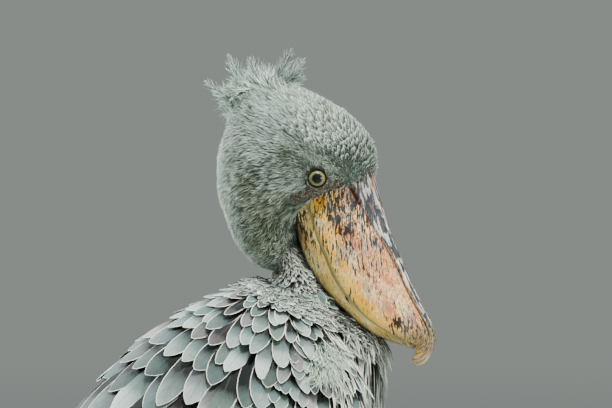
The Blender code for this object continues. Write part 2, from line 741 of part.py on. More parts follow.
def tail():
    """The tail: a short root and its fan of feathers, the middle pair on top."""
    way = np.array((-math.cos(TAIL_SLOPE), 0.0, -math.sin(TAIL_SLOPE)))
    over = np.array((-math.sin(TAIL_SLOPE), 0.0, math.cos(TAIL_SLOPE)))
    root = np.array(TAIL_ROOT)
    rows = []
    for place, half_depth, half_width in ((0.0, 0.014, 0.026), (0.040, 0.011, 0.031), (0.085, 0.005, 0.036)):
        upper, lower = root + way * place + over * half_depth, root + way * place - over * half_depth
        rows.append((upper[0], upper[2], lower[0], lower[2], half_width))
    body = skin_object("tail", Skin(rows), 6, 14)
    feathers = []
    for k in range(TAIL_FEATHERS):
        share = 2 * k / (TAIL_FEATHERS - 1) - 1
        angle = TAIL_SPREAD * share
        across = np.array((0.0, 1.0, 0.0))
        heading = unit(way * math.cos(angle) + across * math.sin(angle))
        level = 0.0026 * (1 - abs(share)) * 2.2
        start = root + way * 0.035 + across * (0.021 * share) + over * (level - 0.002)
        spots = np.linspace(0, 1, 5)[:, None]
        points = start + heading * spots * (TAIL_LENGTH - 0.035 - 0.008 * abs(share))
        roll = math.radians(-9.0) if share > 0 else math.radians(9.0)
        ways, normals = np.tile(heading, (5, 1)), np.tile(over, (5, 1))
        feathers.append(vane(f"rectrix_{k}", points, ways, normals, 0.030, 0.003, 0.001, roll))
    combine(body, feathers, "UNION")
    combine(body, [skin_object("cutter", torso_skin(), 17, 22, GAP)], "DIFFERENCE")
    return keep_largest(body)


def side_name(side):
    """The word for a side."""
    return "left" if side > 0 else "right"


def step_of(side):
    """How far this foot stands ahead of the middle of the stride."""
    return 0.5 * STRIDE * side


def thigh(side):
    """The feathered upper leg."""
    body = skin_object("thigh_" + side_name(side), Skin(THIGH), 8, 14)
    body.data.transform(Matrix.Translation((0.5 * step_of(side), side * LEG_SPREAD, 0.0)))
    combine(body, [skin_object("cutter", torso_skin(), 17, 22, GAP)], "DIFFERENCE")
    return keep_largest(body)


def foot_centre(side):
    """The middle of the foot's pad."""
    return Vector((FOOT_X + step_of(side), side * (LEG_SPREAD + 0.004), PAD_HEIGHT))


def pad(name, side, grow=0.0):
    """The pad under the toes' roots, flat where it stands."""
    radii = [r + grow for r in PAD_SIZE]
    body = ball(name, foot_centre(side), radii, PAD_COLUMNS, PAD_ROWS)
    if not grow:
        for vertex in body.data.vertices:
            vertex.co.z = max(vertex.co.z, 0.0)
    return turn_faces_out(body)


def leg(side):
    """The bare shank: lower tibia, ankle joint and tarsus."""
    rows = smooth(SHANK, np.linspace(0, 1, 16))
    share = np.clip((0.395 - rows[:, 1]) / 0.38, 0, 1)
    top_step, foot_step = 0.5 * step_of(side), step_of(side)
    path = np.stack(
        [
            rows[:, 0] + top_step + (foot_step - top_step) * share,
            side * (LEG_SPREAD + 0.004 * share),
            rows[:, 1],
        ],
        -1,
    )
    body = rings_object("leg_" + side_name(side), tube_rings(path, rows[:, 2], 10, 1.0, (1.0, 0.0, 0.0)))
    combine(body, [thigh_cutter(side)], "DIFFERENCE")
    combine(body, [pad("cutter", side, GAP)], "DIFFERENCE")
    return keep_largest(body)


def thigh_cutter(side):
    """The feathered upper leg a gap larger, to end the shank against."""
    body = skin_object("cutter", Skin(THIGH), 8, 14, GAP)
    low = min(v.co.z for v in body.data.vertices)
    for vertex in body.data.vertices:
        if vertex.co.z < low + 0.006:
            vertex.co.z -= 0.0004
    body.data.transform(Matrix.Translation((0.5 * step_of(side), side * LEG_SPREAD, 0.0)))
    return body


def toe_sections(side, name, angle, length, radius, grow=0.0):
    """Sections of a toe laid along the floor, with its knuckles, and the path through them."""
    turn = math.radians(angle) * side
    way = np.array((math.cos(turn), math.sin(turn), 0.0))
    spots = np.linspace(0, 1, 8)
    knuckles = 1.0 + 0.10 * np.cos(spots * 2 * math.pi * TOE_JOINTS[name])
    radii = radius * (1.0 - 0.32 * spots) * knuckles
    bend = TOE_BEND * np.sin(spots * math.pi) * math.copysign(1.0, angle if angle < 90 else -1.0) * side
    across = np.array((-way[1], way[0], 0.0))
    path = np.array(foot_centre(side)) * (1, 1, 0) + way * (spots * length)[:, None] + across * bend[:, None]
    path[:, 2] = radii * 0.86 + 0.002 * (1 - spots) ** 2
    sections = tube_rings(path, radii + grow, TOE_SIDES)
    for section in sections:
        section[:, 2] = np.maximum(section[:, 2], -grow)
    return sections, path


def claw(side, name, end, heading, root):
    """The claw on a toe's end, curved down to the floor."""
    spots = np.linspace(0, 1, 5)
    curve = end + heading * (GAP + spots * CLAW_LENGTH)[:, None]
    curve[:, 2] = end[2] + 0.0022 * np.sin(spots * math.pi) - (end[2] - 0.0010) * spots**2
    thickness = np.abs(root[:, 2] - end[2]).max()
    rings = tube_rings(curve, CLAW_ROOT * thickness * (1 - spots**1.3) + CLAW_POINT, TOE_SIDES)
    rings[0] = end + heading * GAP + CLAW_ROOT * (root - end)
    for ring in rings:
        ring[:, 2] = np.maximum(ring[:, 2], 0.0)
    return rings_object(f"claw_{side_name(side)}_{name}", rings)


def toe(side, row):
    """One toe and its claw."""
    name = row[0]
    sections, path = toe_sections(side, *row)
    body = rings_object(f"toe_{side_name(side)}_{name}", sections)
    cutters = [pad("cutter", side, GAP)]
    if name in ("inner", "outer"):
        middle, _ = toe_sections(side, *TOES[0], grow=GAP)
        cutters.append(rings_object("cutter", middle))
    for cutter in cutters:
        combine(body, [cutter], "DIFFERENCE")
    heading = unit(path[-1] - path[-2])
    return [keep_largest(body), claw(side, name, path[-1], heading, sections[-1])]


def material(name):
    """A plain finish for a kind of surface."""
    colour, roughness = COLOURS[name]
    made = bpy.data.materials.get(name) or bpy.data.materials.new(name)
    made.use_nodes = True
    shader = made.node_tree.nodes["Principled BSDF"]
    shader.inputs["Base Color"].default_value = (*colour, 1.0)
    shader.inputs["Roughness"].default_value = roughness
    shader.inputs["Metallic"].default_value = 0.0
    return made


def finish(obj, kind):
    """Smooth shading and a finish for one node."""
    obj.data.materials.clear()
    obj.data.materials.append(material(kind))
    obj.data.shade_smooth()
    obj.data.set_sharp_from_angle(angle=math.radians(40.0))
    return obj


def stand_on_origin(nodes):
    """Carries all nodes on one empty, so that the middle of their box stands over the origin."""
    corners = np.array([v.co for obj in nodes for v in obj.data.vertices])
    low, high = corners.min(0), corners.max(0)
    bird = bpy.data.objects.new("shoebill", None)
    bpy.context.scene.collection.objects.link(bird)
    bird.location = (-0.5 * (low[0] + high[0]), -0.5 * (low[1] + high[1]), -low[2])
    for obj in nodes:
        obj.parent = bird


def main():
    """Builds every node."""
    for obj in list(bpy.data.objects):
        bpy.data.objects.remove(obj)
    nodes = [finish(half, "horn") for half in bill()]
    nodes.append(finish(head(), "plumage"))
    nodes.append(finish(neck(), "plumage"))
    nodes.append(finish(torso(), "plumage"))
    nodes.append(finish(tail(), "plumage"))
    for side in (1.0, -1.0):
        nodes.append(finish(eye(side), "eye"))
        nodes.append(finish(wing(side), "plumage"))
        nodes.append(finish(thigh(side), "plumage"))
        nodes.append(finish(leg(side), "leg"))
        nodes.append(finish(pad("foot_" + side_name(side), side), "leg"))
        for row in TOES:
            body, nail = toe(side, row)
            nodes += [finish(body, "leg"), finish(nail, "claw")]
    stand_on_origin(nodes)


main()
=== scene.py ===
"""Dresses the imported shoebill: skin, coat, bill, eyes, legs, studio and camera."""
import logging
import math
from contextlib import contextmanager
from dataclasses import dataclass, field
from enum import Enum
from typing import Callable, Iterator

import bmesh
import bpy
import numpy as np
from mathutils import Matrix, Vector


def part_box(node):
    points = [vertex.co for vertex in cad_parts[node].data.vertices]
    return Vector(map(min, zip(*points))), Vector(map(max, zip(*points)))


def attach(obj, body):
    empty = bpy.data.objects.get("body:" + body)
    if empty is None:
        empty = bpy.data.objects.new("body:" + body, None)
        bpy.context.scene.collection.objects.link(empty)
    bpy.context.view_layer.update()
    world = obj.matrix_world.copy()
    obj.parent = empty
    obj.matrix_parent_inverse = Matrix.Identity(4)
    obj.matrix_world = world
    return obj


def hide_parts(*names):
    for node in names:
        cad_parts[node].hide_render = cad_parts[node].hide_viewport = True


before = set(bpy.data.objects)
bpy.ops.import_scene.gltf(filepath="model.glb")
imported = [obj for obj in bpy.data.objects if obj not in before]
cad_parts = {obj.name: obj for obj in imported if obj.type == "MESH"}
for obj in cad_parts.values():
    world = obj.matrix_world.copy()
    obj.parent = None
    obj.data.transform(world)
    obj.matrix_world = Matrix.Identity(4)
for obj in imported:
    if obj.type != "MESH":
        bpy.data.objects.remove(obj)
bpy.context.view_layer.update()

log = logging.getLogger("shoebill")
Array = np.ndarray
Material, Object, Mesh = bpy.types.Material, bpy.types.Object, bpy.types.Mesh
Body = tuple[Array, list[Array]]
Pair = tuple[float, float]
Triple = tuple[float, float, float]
Rows = tuple[tuple[float, ...], ...]
WHOLE = (0.0, 2 * math.pi)
SEED = 20
BAKE_PATCH = 0.003  # how large a feather is on its coat's unwrap
STEP = 1e-3  # how far apart a form is read for its slopes
LEAST_ROUND = 0.004  # the least metres for a unit of angle, near a form's tip
CELLS = 80  # along and round, to share out places by area


class Side(Enum):
    """The bird's own two sides, as the sign of Y."""

    LEFT = 1.0
    RIGHT = -1.0

    @property
    def word(self) -> str:
        """The side's name in a piece's name."""
        return self.name.lower()


def unit(vectors: Array) -> Array:
    """Vectors at length one."""
    return vectors / np.maximum(np.linalg.norm(vectors, axis=-1, keepdims=True), 1e-12)


def dot(a: Array, b: Array) -> Array:
    """Dot products along the last axis, which is kept."""
    return np.sum(a * b, axis=-1, keepdims=True)


def ease(values: Array | float, low: float, high: float) -> Array:
    """A smooth step of the values, from 0 at low to 1 at high."""
    t = np.clip((np.asarray(values, float) - low) / (high - low), 0, 1)
    return t * t * (3 - 2 * t)


def smooth(rows: Rows | Array, u: Array | float) -> Array:
    """Rows read at shares u of the way along, on one smooth curve through them all.

    Args:
        rows: The rows, evenly spaced along the way.
        u: Shares of the way, from 0 to 1.

    Returns:
        One interpolated row for each share.
    """
    table = np.asarray(rows, float)
    table = np.vstack([2 * table[0] - table[1], table, 2 * table[-1] - table[-2]])
    spans = len(table) - 3
    place = np.clip(np.asarray(u, float) * spans, 0, spans)
    index = np.minimum(place.astype(int), spans - 1)
    t = (place - index)[..., None]
    a, b, c, d = (table[index + k] for k in range(4))
    return 0.5 * (2 * b + (c - a) * t + (2 * a - 5 * b + 4 * c - d) * t**2 + (3 * b - a - 3 * c + d) * t**3)


def run(x: Array, y: Array) -> Array:
    """How far along a line each of its points is."""
    return np.concatenate([[0], np.cumsum(np.hypot(np.diff(x), np.diff(y)))])


def carried(points: Array, matrix: Matrix) -> Array:
    """Points moved by a matrix."""
    turn = np.array(matrix)
    return np.asarray(points, float) @ turn[:3, :3].T + turn[:3, 3]


@dataclass(frozen=True)
class Pose:
    """How the head and bill are held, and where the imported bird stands."""

    bill_droop: float = math.radians(57.7)
    bill_root: Triple = (0.015, 0.0, 0.938)
    head_turn: float = math.radians(-18.0)
    head_pivot_x: float = -0.02
    eye_centre: Triple = (0.0304, 0.0488, 0.97)
    eye_aim: Triple = (0.34, 0.94, 0.03)
    eye_radius: float = 0.0135
    leg_spread: float = 0.066
    stride: float = 0.022

    def hip(self, side: Side) -> Triple:
        """How far a thigh is set ahead and aside."""
        return (0.25 * self.stride * side.value, side.value * self.leg_spread, 0.0)

    def unturned(self, points: Array) -> Array:
        """Points as they would be with the head straight ahead."""
        return carried(points, self.head().inverted())

    def turned(self, ways: Array) -> Array:
        """Ways turned with the head."""
        return ways @ np.array(self.head().to_3x3()).T

    def head(self) -> Matrix:
        """Turns the head to the bird's right about a standing axis through the neck."""
        pivot = Matrix.Translation((self.head_pivot_x, 0.0, 0.0))
        return pivot @ Matrix.Rotation(self.head_turn, 4, "Z") @ pivot.inverted()

    def bill(self) -> Matrix:
        """From the bill's own frame, +x to the tip and +z to the culmen, to the bird's."""
        return self.head() @ Matrix.Translation(self.bill_root) @ Matrix.Rotation(self.bill_droop, 4, "Y")

    def eye(self, side: Side) -> tuple[Array, Array]:
        """The centre of a side's eyeball, and the unit vector that it looks along."""
        flip = np.array((1.0, side.value, 1.0))
        return carried(self.eye_centre * flip, self.head()), unit(self.turned(self.eye_aim * flip))

    def shift(self) -> Array:
        """From the bird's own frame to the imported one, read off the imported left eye."""
        low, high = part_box("eye_left")
        return np.array((low + high) / 2) - self.eye(Side.LEFT)[0]


POSE = Pose()
SHIFT = POSE.shift()

HEAD_ROWS: Rows = (
    (-0.054, 1.083, -0.01, 1.083, 0.024), (-0.078, 1.071, 0.017, 1.066, 0.043),
    (-0.09, 1.05, 0.049, 1.048, 0.058), (-0.098, 1.023, 0.077, 1.021, 0.067),
    (-0.105, 1.0, 0.0865, 0.996, 0.07), (-0.1065, 0.97, 0.0812, 0.9632, 0.07),
    (-0.1035, 0.945, 0.0455, 0.9452, 0.0695), (-0.093, 0.92, 0.012, 0.924, 0.066),
    (-0.083, 0.895, 0.004, 0.902, 0.059), (-0.064, 0.872, 0.006, 0.88, 0.05),
    (-0.044, 0.854, 0.012, 0.862, 0.038),
)
NECK_ROWS: Rows = (
    (-0.046, 0.9, -0.01, 0.905, 0.034), (-0.04, 0.876, 0.001, 0.882, 0.044),
    (-0.036, 0.858, 0.012, 0.858, 0.051), (-0.047, 0.842, 0.026, 0.835, 0.057),
    (-0.066, 0.825, 0.044, 0.808, 0.064), (-0.06, 0.805, 0.056, 0.786, 0.06),
)
TORSO_ROWS: Rows = (
    (-0.034, 0.843, 0.042, 0.808, 0.056), (-0.072, 0.831, 0.0865, 0.774, 0.082),
    (-0.12, 0.81, 0.088, 0.72, 0.106), (-0.166, 0.78, 0.077, 0.66, 0.123),
    (-0.207, 0.743, 0.045, 0.6, 0.132), (-0.247, 0.698, -0.012, 0.544, 0.131),
    (-0.294, 0.644, -0.09, 0.496, 0.121), (-0.344, 0.588, -0.185, 0.461, 0.101),
    (-0.39, 0.54, -0.28, 0.442, 0.076), (-0.43, 0.501, -0.362, 0.442, 0.05),
)
WING_ROWS: Rows = (
    (-0.045, 0.85, 0.005, 0.833, 0.068, 0.02, 0.62), (-0.072, 0.845, 0.04, 0.79, 0.092, 0.01, 0.62),
    (-0.112, 0.827, 0.062, 0.725, 0.117, 0.002, 0.62), (-0.163, 0.798, 0.056, 0.665, 0.135, 0.0015, 0.62),
    (-0.21, 0.762, 0.022, 0.608, 0.146, 0.0015, 0.62), (-0.256, 0.713, -0.045, 0.553, 0.148, 0.0015, 0.62),
    (-0.306, 0.656, -0.13, 0.504, 0.141, 0.0015, 0.62), (-0.359, 0.599, -0.225, 0.462, 0.124, 0.0015, 0.62),
    (-0.413, 0.543, -0.325, 0.426, 0.098, 0.0015, 0.62), (-0.466, 0.488, -0.42, 0.396, 0.068, 0.002, 0.62),
    (-0.516, 0.433, -0.5, 0.37, 0.042, 0.004, 0.62), (-0.556, 0.387, -0.56, 0.345, 0.022, 0.006, 0.62),
)
THIGH_ROWS: Rows = (
    (-0.14, 0.54, -0.03, 0.56, 0.044), (-0.158, 0.5, -0.054, 0.505, 0.043),
    (-0.166, 0.46, -0.085, 0.46, 0.035), (-0.161, 0.42, -0.101, 0.418, 0.026),
    (-0.153, 0.385, -0.112, 0.382, 0.0185),
)


@dataclass
class Path:
    """Lines laid on a form: points, ways and outward normals, each (count, steps, 3)."""

    points: Array
    ways: Array
    normals: Array


def straight(start: Array, way: Array, length: Array, cut: "Cut", normal: Array) -> Path:
    """Straight lines for feathers, read at the cut's spots, with their upper sides to the normal."""
    points = start[:, None] + way[:, None] * (length[:, None] * cut.spots)[..., None]
    return Path(points, np.broadcast_to(way[:, None], points.shape), np.broadcast_to(normal, points.shape))


@dataclass
class Form:
    """A surface lofted through chords in the middle plane, u along it and a round it from the back.

    Each row holds the chord's back x and z, its front x and z and the half width, and may
    hold the distance of the chord from the middle plane and the chord's share at the widest.
    """

    rows: Rows
    start: float = 0.0
    end: float = 0.0
    side: float = 1.0
    turn: Matrix = field(default_factory=lambda: Matrix.Identity(4))
    table: Array = field(init=False)

    def __post_init__(self) -> None:
        """Fills in the two optional columns."""
        self.table = np.array([tuple(r) + (0.0, 0.5)[len(r) - 5 :] for r in self.rows])

    def at(self, u: Array | float, a: Array | float, grow: Array | float = 0.0) -> Array:
        """Points on the form.

        Args:
            u: Shares of the way along.
            a: Angles round, 0 at the back chord end.
            grow: How far the points move outwards.

        Returns:
            The points, in the bird's frame.
        """
        u, a, grow = np.broadcast_arrays(*(np.asarray(v, float) for v in (u, a, grow)))
        row = smooth(self.table, u)
        zero = np.zeros_like(u)
        back = np.stack([row[..., 0], zero, row[..., 1]], -1)
        chord = np.stack([row[..., 2], zero, row[..., 3]], -1) - back
        size = np.ones_like(u)
        for reach, share in ((self.start, u), (self.end, 1 - u)):
            if reach:
                size = size * np.sqrt(np.clip(1 - np.clip(1 - share / reach, 0, 1) ** 2, 0, 1))
        reach = 0.5 + (row[..., 6] * (1 - np.cos(a)) - 0.5) * size
        width = row[..., 5] + (row[..., 4] - row[..., 5]) * np.sin(a) * size
        points = back + chord * reach[..., None] - unit(chord) * (grow * np.cos(a))[..., None]
        points[..., 1] = self.side * (width + grow * np.sin(a))
        return carried(points, self.turn)

    def frames(self, u: Array, a: Array) -> tuple[Array, Array, Array, Array, Array, Array]:
        """The form's own axes at (u, a).

        Args:
            u: Shares of the way along.
            a: Angles round.

        Returns:
            Points, unit ways along and round, outward normals, and metres for each unit of u and a.
        """
        low, high = np.maximum(u - STEP, 0.0), np.minimum(u + STEP, 1.0)
        along = (self.at(high, a) - self.at(low, a)) / (high - low)[..., None]
        around = (self.at(u, a + STEP) - self.at(u, a - STEP)) / (2 * STEP)
        scale_u = np.linalg.norm(along, axis=-1)
        scale_a = np.maximum(np.linalg.norm(around, axis=-1), LEAST_ROUND)
        normal = unit(np.cross(around, along)) * self.side
        return self.at(u, a), unit(along), unit(around), normal, scale_u, scale_a

    def lay(
        self, u: Array, a: Array, heading: Array, length: Array, spots: Array, bend: Array | float = 0.0
    ) -> Path:
        """Lays lines on the form, straight on where they pass its end.

        Args:
            u: Where each line starts, along.
            a: Where each line starts, round.
            heading: Each line's angle from straight along, towards growing a.
            length: Each line's length.
            spots: The shares of the length at which a line is read.
            bend: How far the heading turns from root to tip.

        Returns:
            The lines.
        """
        u, a = u.astype(float).copy(), a.astype(float).copy()
        first = heading
        points, ways, normals = [], [], []
        for i, spot in enumerate(spots):
            heading = first + bend * spot
            place, along, around, normal, scale_u, scale_a = self.frames(np.clip(u, 0, 1), a)
            way = unit(np.cos(heading)[:, None] * along + np.sin(heading)[:, None] * around)
            if i:
                step = (spot - spots[i - 1]) * length
                free = (u >= 0.996)[:, None]
                place = np.where(free, points[-1] + ways[-1] * step[:, None], place)
                way = np.where(free, ways[-1], way)
                normal = np.where(free, normals[-1], normal)
            points.append(place)
            ways.append(way)
            normals.append(normal)
            if i + 1 < len(spots):
                ahead = (spots[i + 1] - spot) * length
                u = u + ahead * np.cos(heading) / scale_u
                a = a + ahead * np.sin(heading) / scale_a
        return Path(*(np.stack(v, 1) for v in (points, ways, normals)))

    def scatter(self, count: int, u_span: Pair, a_span: Pair) -> "Roots":
        """Even places on the form, by area, in a fixed order.

        Args:
            count: How many.
            u_span: The stretch of u to fill.
            a_span: The stretch of a to fill.

        Returns:
            The places.
        """
        us, angles = np.linspace(*u_span, CELLS + 1), np.linspace(*a_span, CELLS + 1)
        u, a = np.meshgrid(0.5 * (us[1:] + us[:-1]), 0.5 * (angles[1:] + angles[:-1]), indexing="ij")
        du = self.at(np.minimum(u + STEP, 1), a) - self.at(np.maximum(u - STEP, 0), a)
        da = self.at(u, a + STEP) - self.at(u, a - STEP)
        area = np.linalg.norm(np.cross(du, da), axis=-1) + 1e-12
        along = np.concatenate([[0], np.cumsum(area.sum(1))])
        number = np.arange(1, count + 1)
        first, second = ((number * ratio) % 1 for ratio in (0.7548776662466927, 0.5698402909980532))
        u = np.interp(first, along / along[-1], us)
        row = np.clip(((u - u_span[0]) / (u_span[1] - u_span[0]) * CELLS).astype(int), 0, CELLS - 1)
        share = np.concatenate([np.zeros((CELLS, 1)), np.cumsum(area, 1)], 1)
        share /= share[:, -1:]
        a = np.empty(count)
        for k in range(CELLS):
            a[row == k] = np.interp(second[row == k], share[k], angles)
        return Roots(self, u, a)


@dataclass
class Roots:
    """Places on a form where feathers grow."""

    form: Form
    u: Array
    a: Array

    def __len__(self) -> int:
        """How many."""
        return len(self.u)

    def where(self, keep: Array) -> "Roots":
        """Some of them."""
        return Roots(self.form, self.u[keep], self.a[keep])

    def at(self) -> Array:
        """Their points."""
        return self.form.at(self.u, self.a)

    def heading(self, way: Array) -> Array:
        """The angle from straight along the form at which each way lies."""
        along, around = self.form.frames(self.u, self.a)[1:3]
        return np.arctan2(dot(way, around)[:, 0], dot(way, along)[:, 0])


HEAD = Form(HEAD_ROWS, 0.1, 0.12, turn=POSE.head())
NECK = Form(NECK_ROWS, 0.1, 0.1)
TORSO = Form(TORSO_ROWS, 0.14, 0.14)
WINGS = {side: Form(WING_ROWS, side=side.value) for side in Side}
THIGHS = {side: Form(THIGH_ROWS, turn=Matrix.Translation(POSE.hip(side))) for side in Side}


def mesh_of(name: str, points: Array, faces: list[Array]) -> Mesh:
    """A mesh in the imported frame.

    Args:
        name: The mesh's name.
        points: Its points, in the bird's frame.
        faces: Arrays of faces, each of one corner count.

    Returns:
        The mesh.
    """
    mesh = bpy.data.meshes.new(name)
    corners = np.concatenate([f.ravel() for f in faces]).astype(np.int32)
    totals = np.concatenate([np.full(len(f), f.shape[1]) for f in faces]).astype(np.int32)
    mesh.vertices.add(len(points))
    mesh.vertices.foreach_set("co", (points + SHIFT).astype(np.float32).ravel())
    mesh.loops.add(len(corners))
    mesh.loops.foreach_set("vertex_index", corners)
    mesh.polygons.add(len(totals))
    mesh.polygons.foreach_set("loop_start", np.concatenate([[0], np.cumsum(totals)[:-1]]).astype(np.int32))
    mesh.polygons.foreach_set("loop_total", totals)
    mesh.update(calc_edges=True)
    return mesh


def loft_faces(count: int, steps: int, around: int, caps: bool = True) -> list[Array]:
    """Faces of many closed lofts, one after another.

    Args:
        count: How many lofts.
        steps: Rings in each.
        around: Points in each ring.
        caps: Whether the two ends are closed.

    Returns:
        The faces, wound so that a ring that turns left about its way faces out.
    """
    i, k = np.meshgrid(np.arange(steps - 1), np.arange(around), indexing="ij")
    nxt = (k + 1) % around
    quad = np.stack([i * around + k, i * around + nxt, (i + 1) * around + nxt, (i + 1) * around + k], -1)
    base = (np.arange(count) * steps * around)[:, None, None]
    faces = [(quad.reshape(1, -1, 4) + base).reshape(-1, 4)]
    if caps:
        root = np.arange(around)[::-1]
        tip = (steps - 1) * around + np.arange(around)
        faces.append((np.stack([root, tip])[None] + base).reshape(-1, around))
    return faces


def add_attribute(mesh: Mesh, name: str, values: Array) -> None:
    """Stores a number or a vector for each point of a mesh.

    Args:
        mesh: The mesh.
        name: The attribute's name.
        values: Shape (points,) or (points, 3).
    """
    vector = values.ndim == 2
    layer = mesh.attributes.new(name, "FLOAT_VECTOR" if vector else "FLOAT", "POINT")
    layer.data.foreach_set("vector" if vector else "value", values.astype(np.float32).ravel())


def add_bake_map(mesh: Mesh, places: Array) -> None:
    """Stores the map on which the coat's colours can be baked.

    Args:
        mesh: The mesh.
        places: Each point's place on the map.
    """
    layer = mesh.uv_layers.new(name="OFBake")
    corners = np.empty(len(mesh.loops), np.int32)
    mesh.loops.foreach_get("vertex_index", corners)
    layer.uv.foreach_set("vector", places[corners].astype(np.float32).ravel())


def piece_of(name: str, mesh: Mesh, material: Material, slot: str, *nodes: str) -> Object:
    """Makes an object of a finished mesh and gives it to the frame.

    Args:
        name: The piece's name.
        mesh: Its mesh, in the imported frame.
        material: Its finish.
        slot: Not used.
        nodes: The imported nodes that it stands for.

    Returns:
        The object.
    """
    obj = placed(name, mesh)
    mesh.materials.clear()
    mesh.materials.append(material)
    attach(obj, "root")
    if nodes:
        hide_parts(*nodes)
    mesh.calc_loop_triangles()
    log.info("%s: %d triangles", name, len(mesh.loop_triangles))
    return obj


def placed(name: str, data: bpy.types.ID) -> Object:
    """Links a new object to the scene.

    Args:
        name: Its name.
        data: What it shows.

    Returns:
        The object.
    """
    obj = bpy.data.objects.new(name, data)
    bpy.context.scene.collection.objects.link(obj)
    return obj


def stacked(bodies: list[Body]) -> Body:
    """Joins several bodies.

    Args:
        bodies: The bodies.

    Returns:
        One body.
    """
    base = np.cumsum([0] + [len(points) for points, _ in bodies])
    faces = [f + start for (_, sets), start in zip(bodies, base) for f in sets]
    return np.vstack([points for points, _ in bodies]), faces


@contextmanager
def reworked(mesh: Mesh) -> Iterator[bmesh.types.BMesh]:
    """Opens a mesh for editing and writes it back.

    Args:
        mesh: The mesh.

    Yields:
        Its editable form.
    """
    work = bmesh.new()
    work.from_mesh(mesh)
    yield work
    work.to_mesh(mesh)
    work.free()


def settled(obj: Object, keep: bool = False) -> Mesh:
    """Applies an object's modifiers.

    Args:
        obj: The object, removed afterwards.
        keep: Whether it stays, with the new mesh and without the modifiers.

    Returns:
        The mesh.
    """
    graph = bpy.context.evaluated_depsgraph_get()
    mesh = bpy.data.meshes.new_from_object(obj.evaluated_get(graph))
    if keep:
        obj.modifiers.clear()
        obj.data = mesh
    else:
        bpy.data.objects.remove(obj)
    return mesh


def evened(name: str, bodies: list[Body], voxel: float, rounds: int, *others: Mesh) -> Mesh:
    """Bodies as one even, softened surface.

    Args:
        name: The mesh's name.
        bodies: Closed bodies in the bird's frame.
        voxel: The size of the new faces.
        rounds: How often the surface is smoothed.
        others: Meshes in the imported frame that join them.

    Returns:
        The mesh.
    """
    whole = placed(name, mesh_of(name, *stacked(bodies)))
    with reworked(whole.data) as work:
        for other in others:
            work.from_mesh(other)
    remesh = whole.modifiers.new("even", "REMESH")
    remesh.mode, remesh.voxel_size = "VOXEL", voxel
    soften = whole.modifiers.new("soften", "SMOOTH")
    soften.factor, soften.iterations = 0.5, rounds
    mesh = settled(whole)
    mesh.shade_smooth()
    return mesh


def ring_body(rings: Array) -> Body:
    """One closed loft, turned outwards.

    Args:
        rings: Its rings, (steps, around, 3).

    Returns:
        Its points and faces.
    """
    steps, around = rings.shape[:2]
    points = rings.reshape(-1, 3)
    faces = loft_faces(1, steps, around)
    quads = faces[0]
    a, b, c = points[quads[:, 0]], points[quads[:, 1]], points[quads[:, 2]]
    if np.sum(dot(np.cross(b - a, c - a), a - points.mean(0))) < 0:
        faces = [f[:, ::-1] for f in faces]
    return points, faces


def operator(operation: str, swapped: bool = False) -> Callable:
    """A method that puts one Math node on two values.

    Args:
        operation: What the node does.
        swapped: Whether the values change places.

    Returns:
        The method.
    """

    def method(self: "Value", other: "Value | float") -> "Value":
        """One Math node on the two values."""
        return self.maths(operation, *((other, self) if swapped else (self, other)))

    return method


class Value:
    """A socket that takes part in shader maths written as plain expressions."""

    def __init__(self, tree: "Tree", socket: bpy.types.NodeSocket) -> None:
        """Wraps a socket of a tree."""
        self.tree, self.socket = tree, socket

    def maths(self, operation: str, *values: "Value | float") -> "Value":
        """One Math node on the values, or on this one."""
        return self.tree.add("ShaderNodeMath", {"operation": operation}, dict(enumerate(values or (self,))))

    __add__, __mul__, __pow__ = operator("ADD"), operator("MULTIPLY"), operator("POWER")
    __sub__, __rsub__ = operator("SUBTRACT"), operator("SUBTRACT", True)
    __radd__, __rmul__ = __add__, __mul__

    def size(self) -> "Value":
        """The value without its sign."""
        return self.maths("ABSOLUTE")

    def upto(self, other: "Value | float") -> "Value":
        """The smaller of two values."""
        return self.maths("MINIMUM", self, other)

    def step(self, low: float, high: float) -> "Value":
        """A smooth step.

        Args:
            low: Where it is still 0.
            high: Where it is 1.

        Returns:
            The stepped value.
        """
        settings = {"interpolation_type": "SMOOTHSTEP", "clamp": True}
        inputs = {"Value": self, "From Min": low, "From Max": high}
        return self.tree.add("ShaderNodeMapRange", settings, inputs)


